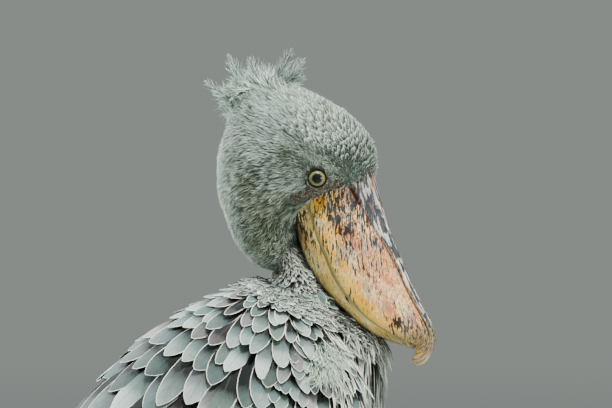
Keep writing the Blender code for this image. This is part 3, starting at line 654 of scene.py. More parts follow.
class Tree:
    """A node tree, and the one way in which nodes are added to it."""

    def __init__(self, tree: bpy.types.NodeTree) -> None:
        """Keeps the tree's nodes and links."""
        self.nodes, self.links = tree.nodes, tree.links

    def add(self, kind: str, settings: dict, inputs: dict, output: int | str = 0) -> Value:
        """Adds a node.

        Args:
            kind: The node's type.
            settings: The node's own settings, set first; "stops" fills a colour ramp.
            inputs: Values or links by socket name or number.
            output: The output to hand back.

        Returns:
            The output, ready for maths.
        """
        node = self.nodes.new(kind)
        for key, value in settings.items():
            if key == "stops":
                ramp = node.color_ramp.elements
                while len(ramp) < len(value):
                    ramp.new(0.5)
                for stop, (place, colour) in zip(ramp, value):
                    stop.position, stop.color = place, (*colour, 1.0)
            else:
                setattr(node, key, value)
        for key, value in inputs.items():
            self.put(node.inputs[key], value)
        return Value(self, node.outputs[output])

    def put(self, socket: bpy.types.NodeSocket, value: "Value | float | tuple") -> None:
        """Links a value to a socket, or sets it.

        Args:
            socket: The socket.
            value: What goes in.
        """
        if isinstance(value, Value):
            self.links.new(value.socket, socket)
        elif isinstance(value, tuple) and len(value) == 3 and socket.type == "RGBA":
            socket.default_value = (*value, 1.0)
        else:
            socket.default_value = value

    def parts(self, vector: Value) -> tuple[Value, Value, Value]:
        """Takes a vector apart.

        Args:
            vector: The vector.

        Returns:
            Its x, y and z.
        """
        first = self.add("ShaderNodeSeparateXYZ", {}, {0: vector}, 0)
        outputs = first.socket.node.outputs
        return first, Value(self, outputs[1]), Value(self, outputs[2])

    def vector(self, x: "Value | float", y: "Value | float", z: "Value | float") -> Value:
        """A vector of three values."""
        return self.add("ShaderNodeCombineXYZ", {}, {0: x, 1: y, 2: z})

    def scaled(self, vector: Value, scale: Triple) -> Value:
        """A vector multiplied part by part."""
        return self.add("ShaderNodeVectorMath", {"operation": "MULTIPLY"}, {0: vector, 1: scale})


class Shader(Tree):
    """A material, and the patterns that its finish adds."""

    def __init__(self, name: str) -> None:
        """Makes the material with one Principled shader.

        Args:
            name: The material's name.
        """
        self.material = bpy.data.materials.new(name)
        self.material.use_nodes = True
        super().__init__(self.material.node_tree)
        self.base = self.nodes["Principled BSDF"]

    def set(self, **values: "Value | float | tuple") -> None:
        """Sets or links sockets of the Principled shader, named with underscores."""
        for key, value in values.items():
            self.put(self.base.inputs[key.replace("_", " ")], value)

    def place(self) -> Value:
        """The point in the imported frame."""
        return self.add("ShaderNodeTexCoord", {}, {}, "Object")

    def attribute(self, name: str, vector: bool = False) -> Value:
        """A number or a vector stored on the mesh."""
        return self.add("ShaderNodeAttribute", {"attribute_name": name}, {}, "Vector" if vector else "Fac")

    def noise(self, vector: Value, scale: float, detail: float = 3.0, rough: float = 0.55) -> Value:
        """Soft noise from 0 to 1."""
        inputs = {"Vector": vector, "Scale": scale, "Detail": detail, "Roughness": rough}
        return self.add("ShaderNodeTexNoise", {}, inputs)

    def weave(
        self, along: Value, across: Value, scale: Pair, seed: "Value | float", detail: float = 3.0,
        rough: float = 0.55,
    ) -> Value:
        """Noise drawn out along and across a surface, one pattern for each seed."""
        return self.noise(self.vector(along * scale[0], across * scale[1], seed), 1.0, detail, rough)

    def cells(self, vector: Value, scale: float) -> Value:
        """Distance to the nearest edge of a cell pattern."""
        settings = {"feature": "DISTANCE_TO_EDGE"}
        return self.add("ShaderNodeTexVoronoi", settings, {"Vector": vector, "Scale": scale})

    def mix(self, factor: "Value | float", first: "Value | tuple", second: "Value | tuple") -> Value:
        """Two colours mixed, factor saying how much of the second."""
        settings = {"data_type": "RGBA", "clamp_factor": True}
        return self.add("ShaderNodeMix", settings, {0: factor, 6: first, 7: second}, 2)

    def ramp(self, value: Value, *stops: tuple[float, Triple]) -> Value:
        """A colour for each value."""
        return self.add("ShaderNodeValToRGB", {"stops": stops}, {0: value})

    def bump(self, height: Value, distance: float, strength: float = 1.0) -> None:
        """Links a height, in metres times distance, to the Normal."""
        inputs = {"Strength": strength, "Distance": distance, "Height": height}
        self.set(Normal=self.add("ShaderNodeBump", {}, inputs))


COOL = ((0.01, 0.016, 0.016), (0.146, 0.222, 0.21), (0.72, 0.89, 0.82))
OLIVE = ((0.013, 0.015, 0.009), (0.15, 0.188, 0.118), (0.73, 0.815, 0.64))
MAUVE = ((0.02, 0.019, 0.02), (0.225, 0.215, 0.212), (0.78, 0.76, 0.72))
RIM_CREAM = (0.92, 0.93, 0.8)


def plumage_colour(shader: Shader, tone: Value, warm: Value) -> Value:
    """The colour of plumage, the same rule for skin and coat.

    Args:
        shader: The tree it is built in.
        tone: 0 dark to 1 pale.
        warm: Below 0 for mauve, 0 for blue slate, up to 1 for olive.

    Returns:
        The colour.
    """
    place = shader.place()
    cloud = shader.noise(place, 38.0, 3.0)
    level = tone + (cloud - 0.5) * 0.2
    cool, olive, mauve = (shader.ramp(level, *zip((0.0, 0.5, 1.0), stops)) for stops in (COOL, OLIVE, MAUVE))
    hue = warm + (shader.noise(place, 17.0, 2.0) - 0.5) * 0.4
    return shader.mix((hue * -3.0).step(0.1, 0.9), shader.mix(hue, cool, olive), mauve)


@dataclass(frozen=True)
class SkinFinish:
    """Feather bed and bare skin of the body, mostly under the coat."""

    roughness: float = 0.78

    def build(self) -> Material:
        """Builds the finish.

        Returns:
            The material.
        """
        shader = Shader("skin")
        place = shader.place()
        fine = shader.noise(place, 900.0, 4.0, 0.7)
        tone = shader.attribute("tone") + (fine - 0.5) * 0.5
        colour = plumage_colour(shader, tone, shader.attribute("warm"))
        bare = shader.attribute("bare")
        folds = shader.cells(shader.scaled(place, (1.0, 1.0, 1.5)), 520.0)
        patchy = shader.noise(place, 210.0, 3.0, 0.7)
        # Pale pebbles on dark grey bare skin; the dark in the creases between them is the skin's own grey and
        # painted shade.
        pebble = folds.step(0.06, 0.34) * patchy.step(0.36, 0.6)
        hide = shader.mix(pebble, (0.04, 0.038, 0.03), (0.46, 0.43, 0.33))
        hide = shader.mix(shader.attribute("margin"), hide, (0.01, 0.009, 0.008))
        skin = shader.mix(bare, colour, hide)
        shader.set(Base_Color=skin, Roughness=self.roughness, Specular_IOR_Level=0.15)
        shader.bump(fine + folds.upto(0.25) * 2.0 * bare, 0.0012, 0.8)
        return shader.material


@dataclass(frozen=True)
class PlumageFinish:
    """The surface of feathers: barbs, a shaft and a thin pale rim."""

    name: str
    rim_width: float = 0.9
    rim_strength: float = 0.85
    shaft: float = 0.25
    barb: float = 0.16
    gloss: float = 0.12
    roughness: float = 0.62
    tip: float = 0.0
    base_dark_and_shade: float = 0.0
    base_end: float = 0.72
    ragged: float = 0.7

    def build(self) -> Material:
        """Builds the finish.

        Returns:
            The material.
        """
        shader = Shader(self.name)
        across, along, chance = shader.parts(shader.attribute("vane", True))
        wide = across.size()
        place = shader.vector(across * 3.0, (along - wide * 0.3) * 34.0, chance * 90.0)
        streak = shader.noise(place, 1.0, 3.0, 0.6)
        fine = shader.noise(shader.vector(wide * 2.0, (along - wide * 0.3) * 130.0, chance * 50.0), 1.0, 1.0)
        tone = shader.attribute("tone") + (streak - 0.5) * self.barb * 2.0 + (fine - 0.5) * self.barb
        # Darker towards the base: the feather's own dark down, and painted shadow under the tips that overlap
        # it.
        tone = tone + (along - 0.55) * self.tip - (1.0 - along.step(0.3, self.base_end)) * self.base_dark_and_shade
        colour = plumage_colour(shader, tone, shader.attribute("warm"))
        shaft = 1.0 - wide.step(0.03, 0.09)
        colour = shader.mix(shaft * self.shaft, colour, (0.1, 0.11, 0.1))
        ragged = shader.attribute("rim") + (streak - 0.5) * self.ragged
        rim = 1.0 - ragged.step(0.45 * self.rim_width, self.rim_width)
        colour = shader.mix(rim * self.rim_strength * along.step(0.15, 0.45), colour, RIM_CREAM)
        shader.set(Base_Color=colour, Roughness=self.roughness, Specular_IOR_Level=self.gloss)
        shader.bump(fine * 0.6 + streak, 0.0006, 0.45)
        return shader.material


@dataclass(frozen=True)
class HornFinish:
    """Weathered horn of the bill, streaked and flaked lengthwise, in the bill's own measures."""

    lower: bool = False
    slant: float = 0.3
    dark: Triple = (0.016, 0.012, 0.012)
    slate: Triple = (0.028, 0.042, 0.052)
    cream: Triple = (0.95, 0.8, 0.46)

    def ground(self, shader: Shader, along: Value, arc: Value, height: Value) -> Value:
        """The horn's own colour: flesh in the middle, amber and yellow towards the mouth.

        Args:
            shader: The tree.
            along: Metres from the bill's root.
            arc: Metres round from the culmen.
            height: 0 at the lower edge to 1 at the upper.

        Returns:
            The colour.
        """
        soft = shader.weave(along, arc, (34.0, 70.0), 0.0)
        if self.lower:
            yellows = (0.3, (0.58, 0.27, 0.06)), (0.5, (0.72, 0.48, 0.1)), (0.68, (0.8, 0.66, 0.22))
            colour = shader.ramp(soft, *yellows)
            return shader.mix((1.0 - height.step(0.05, 0.5)) * 0.7, colour, (0.24, 0.11, 0.035))
        pinks = (0.34, (0.6, 0.21, 0.09)), (0.5, (0.74, 0.37, 0.15)), (0.66, (0.84, 0.57, 0.26))
        flesh = shader.ramp(soft, *pinks)
        granular = shader.weave(along, arc, (230.0, 400.0), 6.0, 2.0, 0.7)
        flesh = shader.mix(granular.step(0.48, 0.58) * 0.75, flesh, (0.34, 0.1, 0.045))
        amber = shader.ramp(soft, (0.36, (0.86, 0.36, 0.02)), (0.62, (0.92, 0.56, 0.06)))
        low = 1.0 - (height + (soft - 0.5) * 0.45 - (0.06 - along).step(0.0, 0.06) * 0.25).step(0.2, 0.46)
        return shader.mix(low, flesh, amber)

    def worn(
        self, shader: Shader, colour: Value, along: Value, across: Value, drawn: Value
    ) -> tuple[Value, Value]:
        """Pale flakes and a web of cracks over the horn.

        Args:
            shader: The tree.
            colour: The horn's own colour.
            along: Metres from the bill's root.
            across: Metres from the culmen.
            drawn: The same, slanted.

        Returns:
            The colour and how worn it is.
        """
        wear = shader.weave(along, across, (24.0, 50.0), 7.0, 2.0)
        flakes = shader.weave(along, across, (260.0, 560.0), 2.0, 3.0, 0.65)
        flakes = (flakes + (wear - 0.5) * 0.45 - (across - 0.045).step(0.0, 0.03) * 0.035).step(0.54, 0.62)
        bent = shader.weave(along, across, (90.0, 160.0), 0.0, 2.0) * 0.9
        cracks = shader.cells(shader.vector(along * 105.0 + bent, drawn * 250.0 + bent, 0.0), 1.0)
        web = (1.0 - cracks.step(0.03, 0.12)) * wear.step(0.42, 0.58)
        rough = (flakes * 0.42 + web * 0.7).upto(0.8)
        return shader.mix(rough, colour, self.cream), rough

    def stains(self, shader: Shader, along: Value, drawn: Value, reach: Value, grain: Value) -> Value:
        """Dark dashes and specks along the bill.

        Args:
            shader: The finish in the making.
            along: Metres from the bill's root.
            drawn: Metres across, slanted.
            reach: How dense they are.
            grain: Fine noise that breaks their edges.

        Returns:
            How dark each place is.
        """
        patch = shader.weave(along, drawn, (30.0, 60.0), 5.0, 2.0)
        dash = shader.weave(along, drawn, (80.0, 400.0), 9.0, 2.0, 0.55)
        speck = shader.weave(along, drawn, (210.0, 700.0), 1.0, 2.0, 0.6)
        crowd = reach * 0.165 - 0.02 + (patch - 0.5) * 0.3
        dashes = (dash + crowd + (grain - 0.5) * 0.16).step(0.63, 0.652)
        specks = (speck + crowd * 0.8).step(0.655, 0.685)
        return (dashes + specks).upto(1.0)

    def build(self) -> Material:
        """Builds the finish.

        Returns:
            The material.
        """
        shader = Shader("lower_horn" if self.lower else "upper_horn")
        along, arc, height = shader.parts(shader.attribute("horn", True))
        ridge, groove, reach = (shader.attribute(name) for name in ("ridge", "groove", "blotch"))
        across = arc.size() + arc.step(-0.0001, 0.0001) * 0.5
        drawn = across - along * self.slant
        grain = shader.weave(along, across, (190.0, 620.0), 4.0, 4.0, 0.7)
        colour = self.ground(shader, along, across, height)
        colour, rough = self.worn(shader, colour, along, across, drawn)
        wash = shader.weave(along, drawn, (42.0, 120.0), 3.0, 2.0)
        blue = (wash + reach * 0.06).step(0.58, 0.66) * (0.15 if self.lower else 0.5)
        colour = shader.mix(blue, colour, (0.22, 0.3, 0.3))
        stain = self.stains(shader, along, drawn, reach, grain)
        colour = shader.mix(stain * 0.98, colour, shader.mix(wash.step(0.45, 0.6), self.dark, self.slate))
        lines = shader.weave(along, across, (34.0, 165.0), 0.0, 3.0, 0.62)
        # Painted highlight: the top of the culmen is pale cream, fading to pale slate down its sides.
        highlight_fade = (across + (wash - 0.5) * 0.02).step(0.004, 0.008) * 0.6
        shade = shader.mix(highlight_fade, (0.94, 0.91, 0.76), (0.34, 0.41, 0.44))
        mottle = shader.mix((lines + reach * 0.03).step(0.47, 0.51), shade, (0.03, 0.048, 0.062))
        rust = (1.0 - along.step(0.02, 0.06)) * wash.step(0.5, 0.56) * (1.0 - across.step(0.007, 0.012))
        colour = shader.mix(ridge * 0.94, colour, shader.mix(rust * 0.85, mottle, (0.7, 0.22, 0.05)))
        if self.lower:
            edge = (height + (grain - 0.5) * 0.1).step(0.82, 0.98)
        else:
            edge = 1.0 - height.step(0.02, 0.075)
        colour = shader.mix(edge * 0.85, colour, (0.17, 0.21, 0.095))
        if self.lower:
            rim = 1.0 - (height + (grain - 0.5) * 0.3).step(0.02, 0.2)
            colour = shader.mix(rim * 0.85, colour, (0.04, 0.03, 0.018))
            tip = (along + (wash - 0.5) * 0.03).step(0.165, 0.19)
        else:
            tip = (along + (wash - 0.5) * 0.03).step(0.185, 0.205) * (1.0 - along.step(0.222, 0.23) * 0.6)
        scaled = shader.mix(grain.step(0.47, 0.56), (0.022, 0.024, 0.014), (0.4, 0.32, 0.14))
        colour = shader.mix(tip * 0.8, colour, scaled)
        # Painted shade: the groove and the nostril slits are darkened to a near-black brown.
        colour = shader.mix(groove * 0.95, colour, (0.055, 0.018, 0.008))
        shader.set(Base_Color=colour, Roughness=0.42 + rough * 0.3, Specular_IOR_Level=0.22, Coat_Weight=0.04)
        shader.bump(grain * 0.5 + rough * 0.5 - groove, 0.0009, 0.6)
        return shader.material


@dataclass(frozen=True)
class EyeFinish:
    """The pale ring of the iris round a large pupil, under a wet front."""

    def build(self) -> Material:
        """Builds the finish.

        Returns:
            The material.
        """
        shader = Shader("eye_glass")
        radius, turn, _ = shader.parts(shader.attribute("iris", True))
        rays = shader.weave(turn, radius, (14.0, 260.0), 0.0)
        ring = shader.ramp(rays, (0.3, (0.13, 0.145, 0.045)), (0.7, (0.29, 0.3, 0.11)))
        inner = (radius + (rays - 0.5) * 0.001).step(0.005, 0.0074)
        outer = (radius + (rays - 0.5) * 0.0004).step(0.0094, 0.0101)
        colour = shader.mix(inner, (0.004, 0.005, 0.004), ring)
        colour = shader.mix(outer, colour, (0.02, 0.018, 0.014))
        shader.set(Base_Color=colour, Roughness=0.5, Specular_IOR_Level=0.1)
        shader.set(Coat_Weight=0.35, Coat_Roughness=0.02)
        return shader.material


@dataclass(frozen=True)
class ScaleFinish:
    """Dark scaly skin of the legs and toes."""

    def build(self) -> Material:
        """Builds the finish.

        Returns:
            The material.
        """
        shader = Shader("leg_scales")
        place = shader.place()
        cells = shader.cells(shader.scaled(place, (1.0, 1.0, 0.75)), 330.0)
        seam = 1.0 - cells.step(0.02, 0.16)
        dust = shader.noise(place, 60.0, 4.0)
        colour = shader.ramp(dust, (0.3, (0.045, 0.048, 0.052)), (0.7, (0.115, 0.115, 0.108)))
        worn = shader.mix(seam * 0.6, colour, (0.2, 0.19, 0.165))
        shader.set(Base_Color=worn, Roughness=0.55 + seam * 0.25)
        shader.bump(cells.upto(0.3) * 3.0 + dust * 0.3, 0.0009, 0.8)
        return shader.material


@dataclass(frozen=True)
class ClawFinish:
    """Dark horn with a fine grain."""

    def build(self) -> Material:
        """Builds the finish.

        Returns:
            The material.
        """
        shader = Shader("claw_horn")
        grain = shader.noise(shader.scaled(shader.place(), (1.0, 1.0, 3.0)), 240.0, 3.0)
        colour = shader.ramp(grain, (0.3, (0.02, 0.019, 0.018)), (0.75, (0.085, 0.078, 0.068)))
        shader.set(Base_Color=colour, Roughness=0.36, Coat_Weight=0.15)
        shader.bump(grain, 0.0004, 0.5)
        return shader.material


@dataclass(frozen=True)
class Blob:
    """A soft patch of tone and warmth, alike on both sides of the bird; some patches are markings of the
    plumage, and some are painted light and shade.
    """

    centre: Triple
    radius: float
    tone: float
    warm: float


# Painted light and shade on the head: the pale patches on the crown and at the nape stand in for light from
# above and behind, and the dark patches about the eye, the brow and the cheek are painted shade. The patches'
# warmth is the plumage's own hue.
HEAD_PATCHES = (
    Blob((-0.104, 0.0, 0.985), 0.04, 0.3, 0.2), Blob((-0.098, 0.03, 0.93), 0.035, 0.16, 0.25),
    Blob((-0.035, 0.0, 1.075), 0.05, 0.1, -0.15), Blob((-0.02, 0.065, 1.03), 0.034, 0.1, -0.25),
    Blob((0.002, 0.062, 0.996), 0.02, -0.26, 0.45), Blob((-0.05, 0.07, 0.967), 0.017, -0.3, 0.35),
    Blob((-0.048, 0.07, 0.935), 0.026, -0.1, 0.3), Blob((-0.012, 0.066, 0.935), 0.026, -0.14, 0.45),
    Blob((-0.03, 0.06, 0.895), 0.03, -0.12, 0.4), Blob((0.052, 0.045, 0.983), 0.018, -0.1, 0.25),
    Blob((0.074, 0.01, 1.004), 0.02, -0.12, -0.1),
)


@dataclass(frozen=True)
class MarkingsAndPaintedLight:
    """Where the plumage is pale or dark, blue or olive, with painted light and shade on the head, and where
    the skin is bare.
    """

    base_tone: float = 0.56
    base_warm: float = 0.42
    neck_line: float = 0.865
    band: tuple[Triple, Triple] = ((0.0115, 0.0635, 0.9435), (0.054, 0.045, 0.9575))
    band_edge: Pair = (0.0103, 0.0155)
    ring_edge: Pair = (0.0156, 0.0176)

    def at(self, points: Array) -> tuple[Array, Array]:
        """Tone and warmth of the plumage.

        Args:
            points: Places in the bird's frame, the last axis holding x, y and z.

        Returns:
            Tone from 0 dark to 1 pale, and warmth from 0 slate to 1 olive.
        """
        local = POSE.unturned(points)
        local[..., 1] = np.abs(local[..., 1])
        on_head = ease(points[..., 2], self.neck_line - 0.015, self.neck_line + 0.015)
        tone = np.full(points.shape[:-1], self.base_tone)
        warm = np.full(points.shape[:-1], self.base_warm)
        for patch in HEAD_PATCHES:
            gap = np.linalg.norm(local - np.array(patch.centre), axis=-1)
            weight = np.exp(-((gap / patch.radius) ** 2)) * on_head
            tone = tone + patch.tone * weight
            warm = warm + patch.warm * weight
        belly = (1 - on_head) * ease(-points[..., 2], -0.62, -0.45)
        tone = tone + 0.1 * belly
        warm = warm - 0.22 * (1 - on_head)
        return tone, warm

    def bare(self, points: Array) -> Array:
        """How bare the skin is: the lores, the band under the eye and the ring round it.

        Args:
            points: Places in the bird's frame.

        Returns:
            From 0 for feathered to 1 for bare.
        """
        local = POSE.unturned(points)
        local[..., 1] = np.abs(local[..., 1])
        start, end = np.array(self.band)
        share = np.clip(dot(local - start, end - start) / np.sum((end - start) ** 2), 0, 1)
        band = np.linalg.norm(local - (start + share * (end - start)), axis=-1)
        ring = np.linalg.norm(local - np.array(POSE.eye_centre), axis=-1)
        return np.maximum(1 - ease(band, *self.band_edge), 1 - ease(ring, *self.ring_edge))


MARKINGS_AND_PAINTED_LIGHT = MarkingsAndPaintedLight()
FLAT_SECTION = (
    (1.0, -0.15), (0.5, 0.005), (0.0, 0.05), (-0.5, 0.005), (-1.0, -0.15), (-0.5, -0.03), (0.0, 0.005),
    (0.5, -0.03),
)
SLIM_SECTION = ((1.0, -0.16), (0.0, 0.1), (-1.0, -0.16), (0.0, -0.02))
BLADE_SECTION = ((1.0, -0.1), (0.0, 0.34), (-1.0, -0.1))


@dataclass(frozen=True)
class Cut:
    """The outline and section of one kind of feather."""

    outline: tuple[Pair, ...]
    section: tuple[Pair, ...]
    fray: float = 0.0

    @property
    def spots(self) -> Array:
        """Shares of the length where the feather has a ring."""
        return np.array([t for t, _ in self.outline])


COVERT = Cut(
    (
        (0.0, 0.32), (0.16, 0.66), (0.34, 0.92), (0.52, 1.0), (0.68, 0.95),
        (0.8, 0.8), (0.89, 0.58), (0.96, 0.31), (1.0, 0.05),
    ),
    FLAT_SECTION, 0.012,
)
QUILL = Cut(
    (
        (0.0, 0.4), (0.2, 0.85), (0.45, 1.0), (0.7, 0.98),
        (0.84, 0.86), (0.93, 0.62), (0.98, 0.34), (1.0, 0.08),
    ),
    FLAT_SECTION, 0.006,
)
BODY_FEATHER = Cut(
    ((0.0, 0.45), (0.35, 0.95), (0.65, 1.0), (0.85, 0.72), (0.96, 0.34), (1.0, 0.06)), SLIM_SECTION, 0.05
)
PLUME = Cut(((0.0, 0.6), (0.3, 1.0), (0.6, 0.82), (0.82, 0.5), (0.94, 0.25), (1.0, 0.05)), SLIM_SECTION, 0.04)
SCALE = Cut(((0.0, 0.5), (0.4, 1.0), (0.72, 0.96), (0.9, 0.66), (1.0, 0.12)), SLIM_SECTION, 0.03)
BARB = Cut(((0.0, 1.0), (0.55, 0.75), (1.0, 0.08)), BLADE_SECTION)


class Coat:
    """Gathers feathers of any cut and turns them into a piece with its colours' map."""

    def __init__(self, name: str, seed: int) -> None:
        """Starts empty, with a random draw of its own.

        Args:
            name: The piece's name.
            seed: The draw's seed.
        """
        self.name, self.random = name, np.random.default_rng(SEED + seed)
        self.bodies: list[Body] = []
        self.values: dict[str, list[Array]] = {word: [] for word in ("vane", "rim", "tone", "warm", "OFBake")}

    def jitter(self, count: int, spread: float) -> Array:
        """Random numbers about 0."""
        return np.clip(self.random.normal(0.0, 1.0, count), -2.2, 2.2) * spread

    def vary(self, size: Array | float, count: int, spread: float) -> Array:
        """A size that differs from feather to feather."""
        return size * (1 + self.jitter(count, spread))

    def add(
        self, cut: Cut, path: Path, length: Array, width: Array, root: Array, tone: Array, warm: Array,
        rise: Array | float = 0.0, roll: Array | float = 0.0,
    ) -> None:
        """Adds feathers along paths.

        Args:
            cut: Their outline and section.
            path: Their lines, read at the cut's spots.
            length: Each feather's length.
            width: Each feather's widest.
            root: Each root's place on the unwrap, (count, 2).
            tone: Each feather's tone.
            warm: Each feather's warmth.
            rise: Height over the form at each ring, (count, rings).
            roll: Each feather's turn about its line.
        """
        places = np.array(cut.section)
        shape = count, rings, _ = (*path.points.shape[:2], len(places))
        rise, roll = np.broadcast_to(rise, (count, rings)), np.broadcast_to(roll, (count,))
        flat = unit(np.cross(path.normals, path.ways))
        across = np.cos(roll)[:, None, None] * flat + np.sin(roll)[:, None, None] * path.normals
        over = unit(np.cross(path.ways, across))
        half = 0.5 * width[:, None, None] * np.array([w for _, w in cut.outline])[:, None]
        spots = (path.points + path.normals * rise[..., None])[:, :, None]
        for way, reach in ((across, places[:, 0]), (over, places[:, 1])):
            spots = spots + way[:, :, None] * (half * reach)[..., None]
        if cut.fray:
            rag = self.random.normal(0, 1, shape) * np.abs(places[:, 0])
            rag[:, -1] = 0
            spots = spots + path.ways[:, :, None] * (rag * cut.fray * width[:, None, None])[..., None]
        wide, far = np.broadcast_to(places[:, 0], shape), np.broadcast_to(cut.spots[:, None], shape)
        edge = np.minimum(half * (1 - np.abs(wide)), length[:, None, None] * (1 - far)) * 1000.0
        chance, tone, warm = (
            np.broadcast_to(v[:, None, None], shape) for v in (self.random.random(count), tone, warm)
        )
        patch = np.stack([(wide + 1) / 2, far], -1) * BAKE_PATCH + root[:, None, None, :]
        self.bodies.append((spots.reshape(-1, 3), loft_faces(*shape)))
        made = (np.stack([wide, far, chance], -1), edge, tone, warm, np.clip(patch, 0.001, 0.999))
        for word, value in zip(self.values, made):
            self.values[word].append(value.reshape(-1, value.shape[-1]) if value.ndim == 4 else value.ravel())

    def cover(
        self, roots: Roots, cut: Cut, heading: Array, length: Array, width: Array, sink: float,
        lift: Array | float, roll: Array | float = 0.0, tone: Array | float = 0.0, warm: Array | float = 0.0,
        spread: float = 0.06, curve: float = 1.0, bend: Array | float = 0.0,
        keep: Callable[[Path], Array] | None = None,
    ) -> None:
        """Lays feathers on a form, coloured by the markings at their roots.

        Args:
            roots: Where they grow.
            cut: Their outline and section.
            heading: Angles from straight along the form.
            length: Lengths.
            width: Widest of each.
            sink: Depth of the roots.
            lift: Height of the tips.
            roll: Turn of each about its line.
            tone: Added to the tone of the markings and the painted light and shade.
            warm: Added to the markings' warmth.
            spread: How much the tone differs from one feather to the next.
            curve: Above 1, the feather lies low and lifts late.
            bend: How far each heading turns from root to tip.
            keep: Picks the feathers that stay, from their lines.
        """
        path = roots.form.lay(roots.u, roots.a, heading, length, cut.spots, bend)
        count = len(roots)
        level, hue = MARKINGS_AND_PAINTED_LIGHT.at(path.points[:, 0])
        level = level + tone + self.jitter(count, spread)
        hue = hue + warm + self.jitter(count, 0.1)
        lift, roll = (np.broadcast_to(np.asarray(v, float), (count,)) for v in (lift, roll))
        rise = -sink + (lift + sink)[:, None] * cut.spots[None] ** curve
        stay = np.ones(count, bool) if keep is None else keep(path)
        path = Path(path.points[stay], path.ways[stay], path.normals[stay])
        root = np.stack([(roots.a / WHOLE[1]) % 1.0, np.clip(roots.u, 0, 1)], -1) * 0.985 + 0.004
        self.add(cut, path, *(v[stay] for v in (length, width, root, level, hue, rise, roll)))

    def finish(self, material: Material, *nodes: str) -> None:
        """Makes the piece.

        Args:
            material: Its finish.
            nodes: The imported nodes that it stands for.
        """
        mesh = mesh_of(self.name, *stacked(self.bodies))
        for word, values in self.values.items():
            values = np.concatenate(values)
            if word == "OFBake":
                add_bake_map(mesh, values)
            else:
                add_attribute(mesh, word, values)
        mesh.shade_smooth()
        mesh.set_sharp_from_angle(angle=math.radians(70.0))
        piece_of(self.name, mesh, material, "plumage", *nodes)


@dataclass
class BodySkin:
    """One skin over head, neck, trunk, arms and thighs, inside the coat."""

    voxel: float = 0.0034
    head_depth: float = 0.0046
    trunk_depth: float = 0.0045
    limb_depth: float = 0.003
    arm_depth: float = 0.0075
    arm_shell: Rows = ((0.0, 0.45, 0.62, 0.72, 0.86), (0.045, 0.045, 0.026, 0.01, 0.005))
    socket_radius: float = 0.03
    socket_depth: float = 0.009
    tone: float = -0.16

    def loft(self, form: Form, rings: int, around: int, depth: float) -> Body:
        """A closed body inside a form.

        Args:
            form: The form.
            rings: Sections along it.
            around: Points in each.
            depth: How far inside it lies.

        Returns:
            Points and faces.
        """
        us = np.linspace(0.004, 0.996, rings)
        if form.start and form.end:
            us = 0.5 - 0.5 * np.cos(np.pi * us)
        angles = np.arange(around) * 2 * np.pi / around
        return ring_body(form.at(us[:, None], angles[None], -depth))

    def arm(self, side: Side) -> Body:
        """The folded arm under the wing's feathers, as a shell that stands into the trunk.

        Args:
            side: Which arm.

        Returns:
            Points and faces.
        """
        form = WINGS[side]
        us = np.linspace(0.0, 0.86, 24)
        angles = np.linspace(0.0, 1.0, 18)[None] * wing_span(us)[:, None]
        outer = form.at(us[:, None], angles, -self.arm_depth)
        normals = form.frames(np.broadcast_to(us[:, None], angles.shape), np.maximum(angles, 0.03))[3]
        inner = outer - normals * np.interp(us, *self.arm_shell)[:, None, None]
        inner[..., 1] = side.value * np.maximum(side.value * inner[..., 1], 0.0004)
        return ring_body(np.concatenate([outer, inner[:, ::-1]], 1))

    def cut_socket(self, head: Object, side: Side) -> None:
        """Hollows the head where an eye lies.

        Args:
            head: The head's body.
            side: Which eye.
        """
        centre, aim = POSE.eye(side)
        spot = Matrix.Translation(centre + aim * (self.socket_depth + self.socket_radius) + SHIFT)
        dish = placed("dish", bpy.data.meshes.new("dish"))
        with reworked(dish.data) as work:
            bmesh.ops.create_icosphere(work, subdivisions=4, radius=self.socket_radius, matrix=spot)
        cut = head.modifiers.new("socket", "BOOLEAN")
        cut.operation, cut.solver, cut.object = "DIFFERENCE", "EXACT", dish
        settled(head, keep=True)
        bpy.data.objects.remove(dish)

    def build(self, material: Material) -> None:
        """Joins the lofts, evens them into one surface and marks its colours.

        Args:
            material: Its finish.
        """
        head = placed("head_core", mesh_of("head_core", *self.loft(HEAD, 60, 60, self.head_depth)))
        for side in Side:
            self.cut_socket(head, side)
        bodies = [self.loft(NECK, 24, 48, self.limb_depth), self.loft(TORSO, 50, 64, self.trunk_depth)]
        for side in Side:
            bodies += [self.loft(THIGHS[side], 24, 32, self.limb_depth), self.arm(side)]
        mesh = evened("skin", bodies, self.voxel, 5, settled(head))
        spots = np.empty(len(mesh.vertices) * 3, np.float32)
        mesh.vertices.foreach_get("co", spots)
        spots = spots.reshape(-1, 3) - SHIFT
        tone, warm = MARKINGS_AND_PAINTED_LIGHT.at(spots)
        for name, values in (("tone", tone + self.tone), ("warm", warm), ("bare", MARKINGS_AND_PAINTED_LIGHT.bare(spots))):
            add_attribute(mesh, name, values)
        nodes = ["head", "neck", "torso", "tail"] + [f"{n}_{s.word}" for s in Side for n in ("thigh", "wing")]
        piece_of("skin", mesh, material, "plumage", *nodes)


def wing_span(u: Array | float) -> Array:
    """The angle that the wing's section covers at u."""
    return np.arccos(1 - 1 / smooth(WING_ROWS, u)[..., 6])


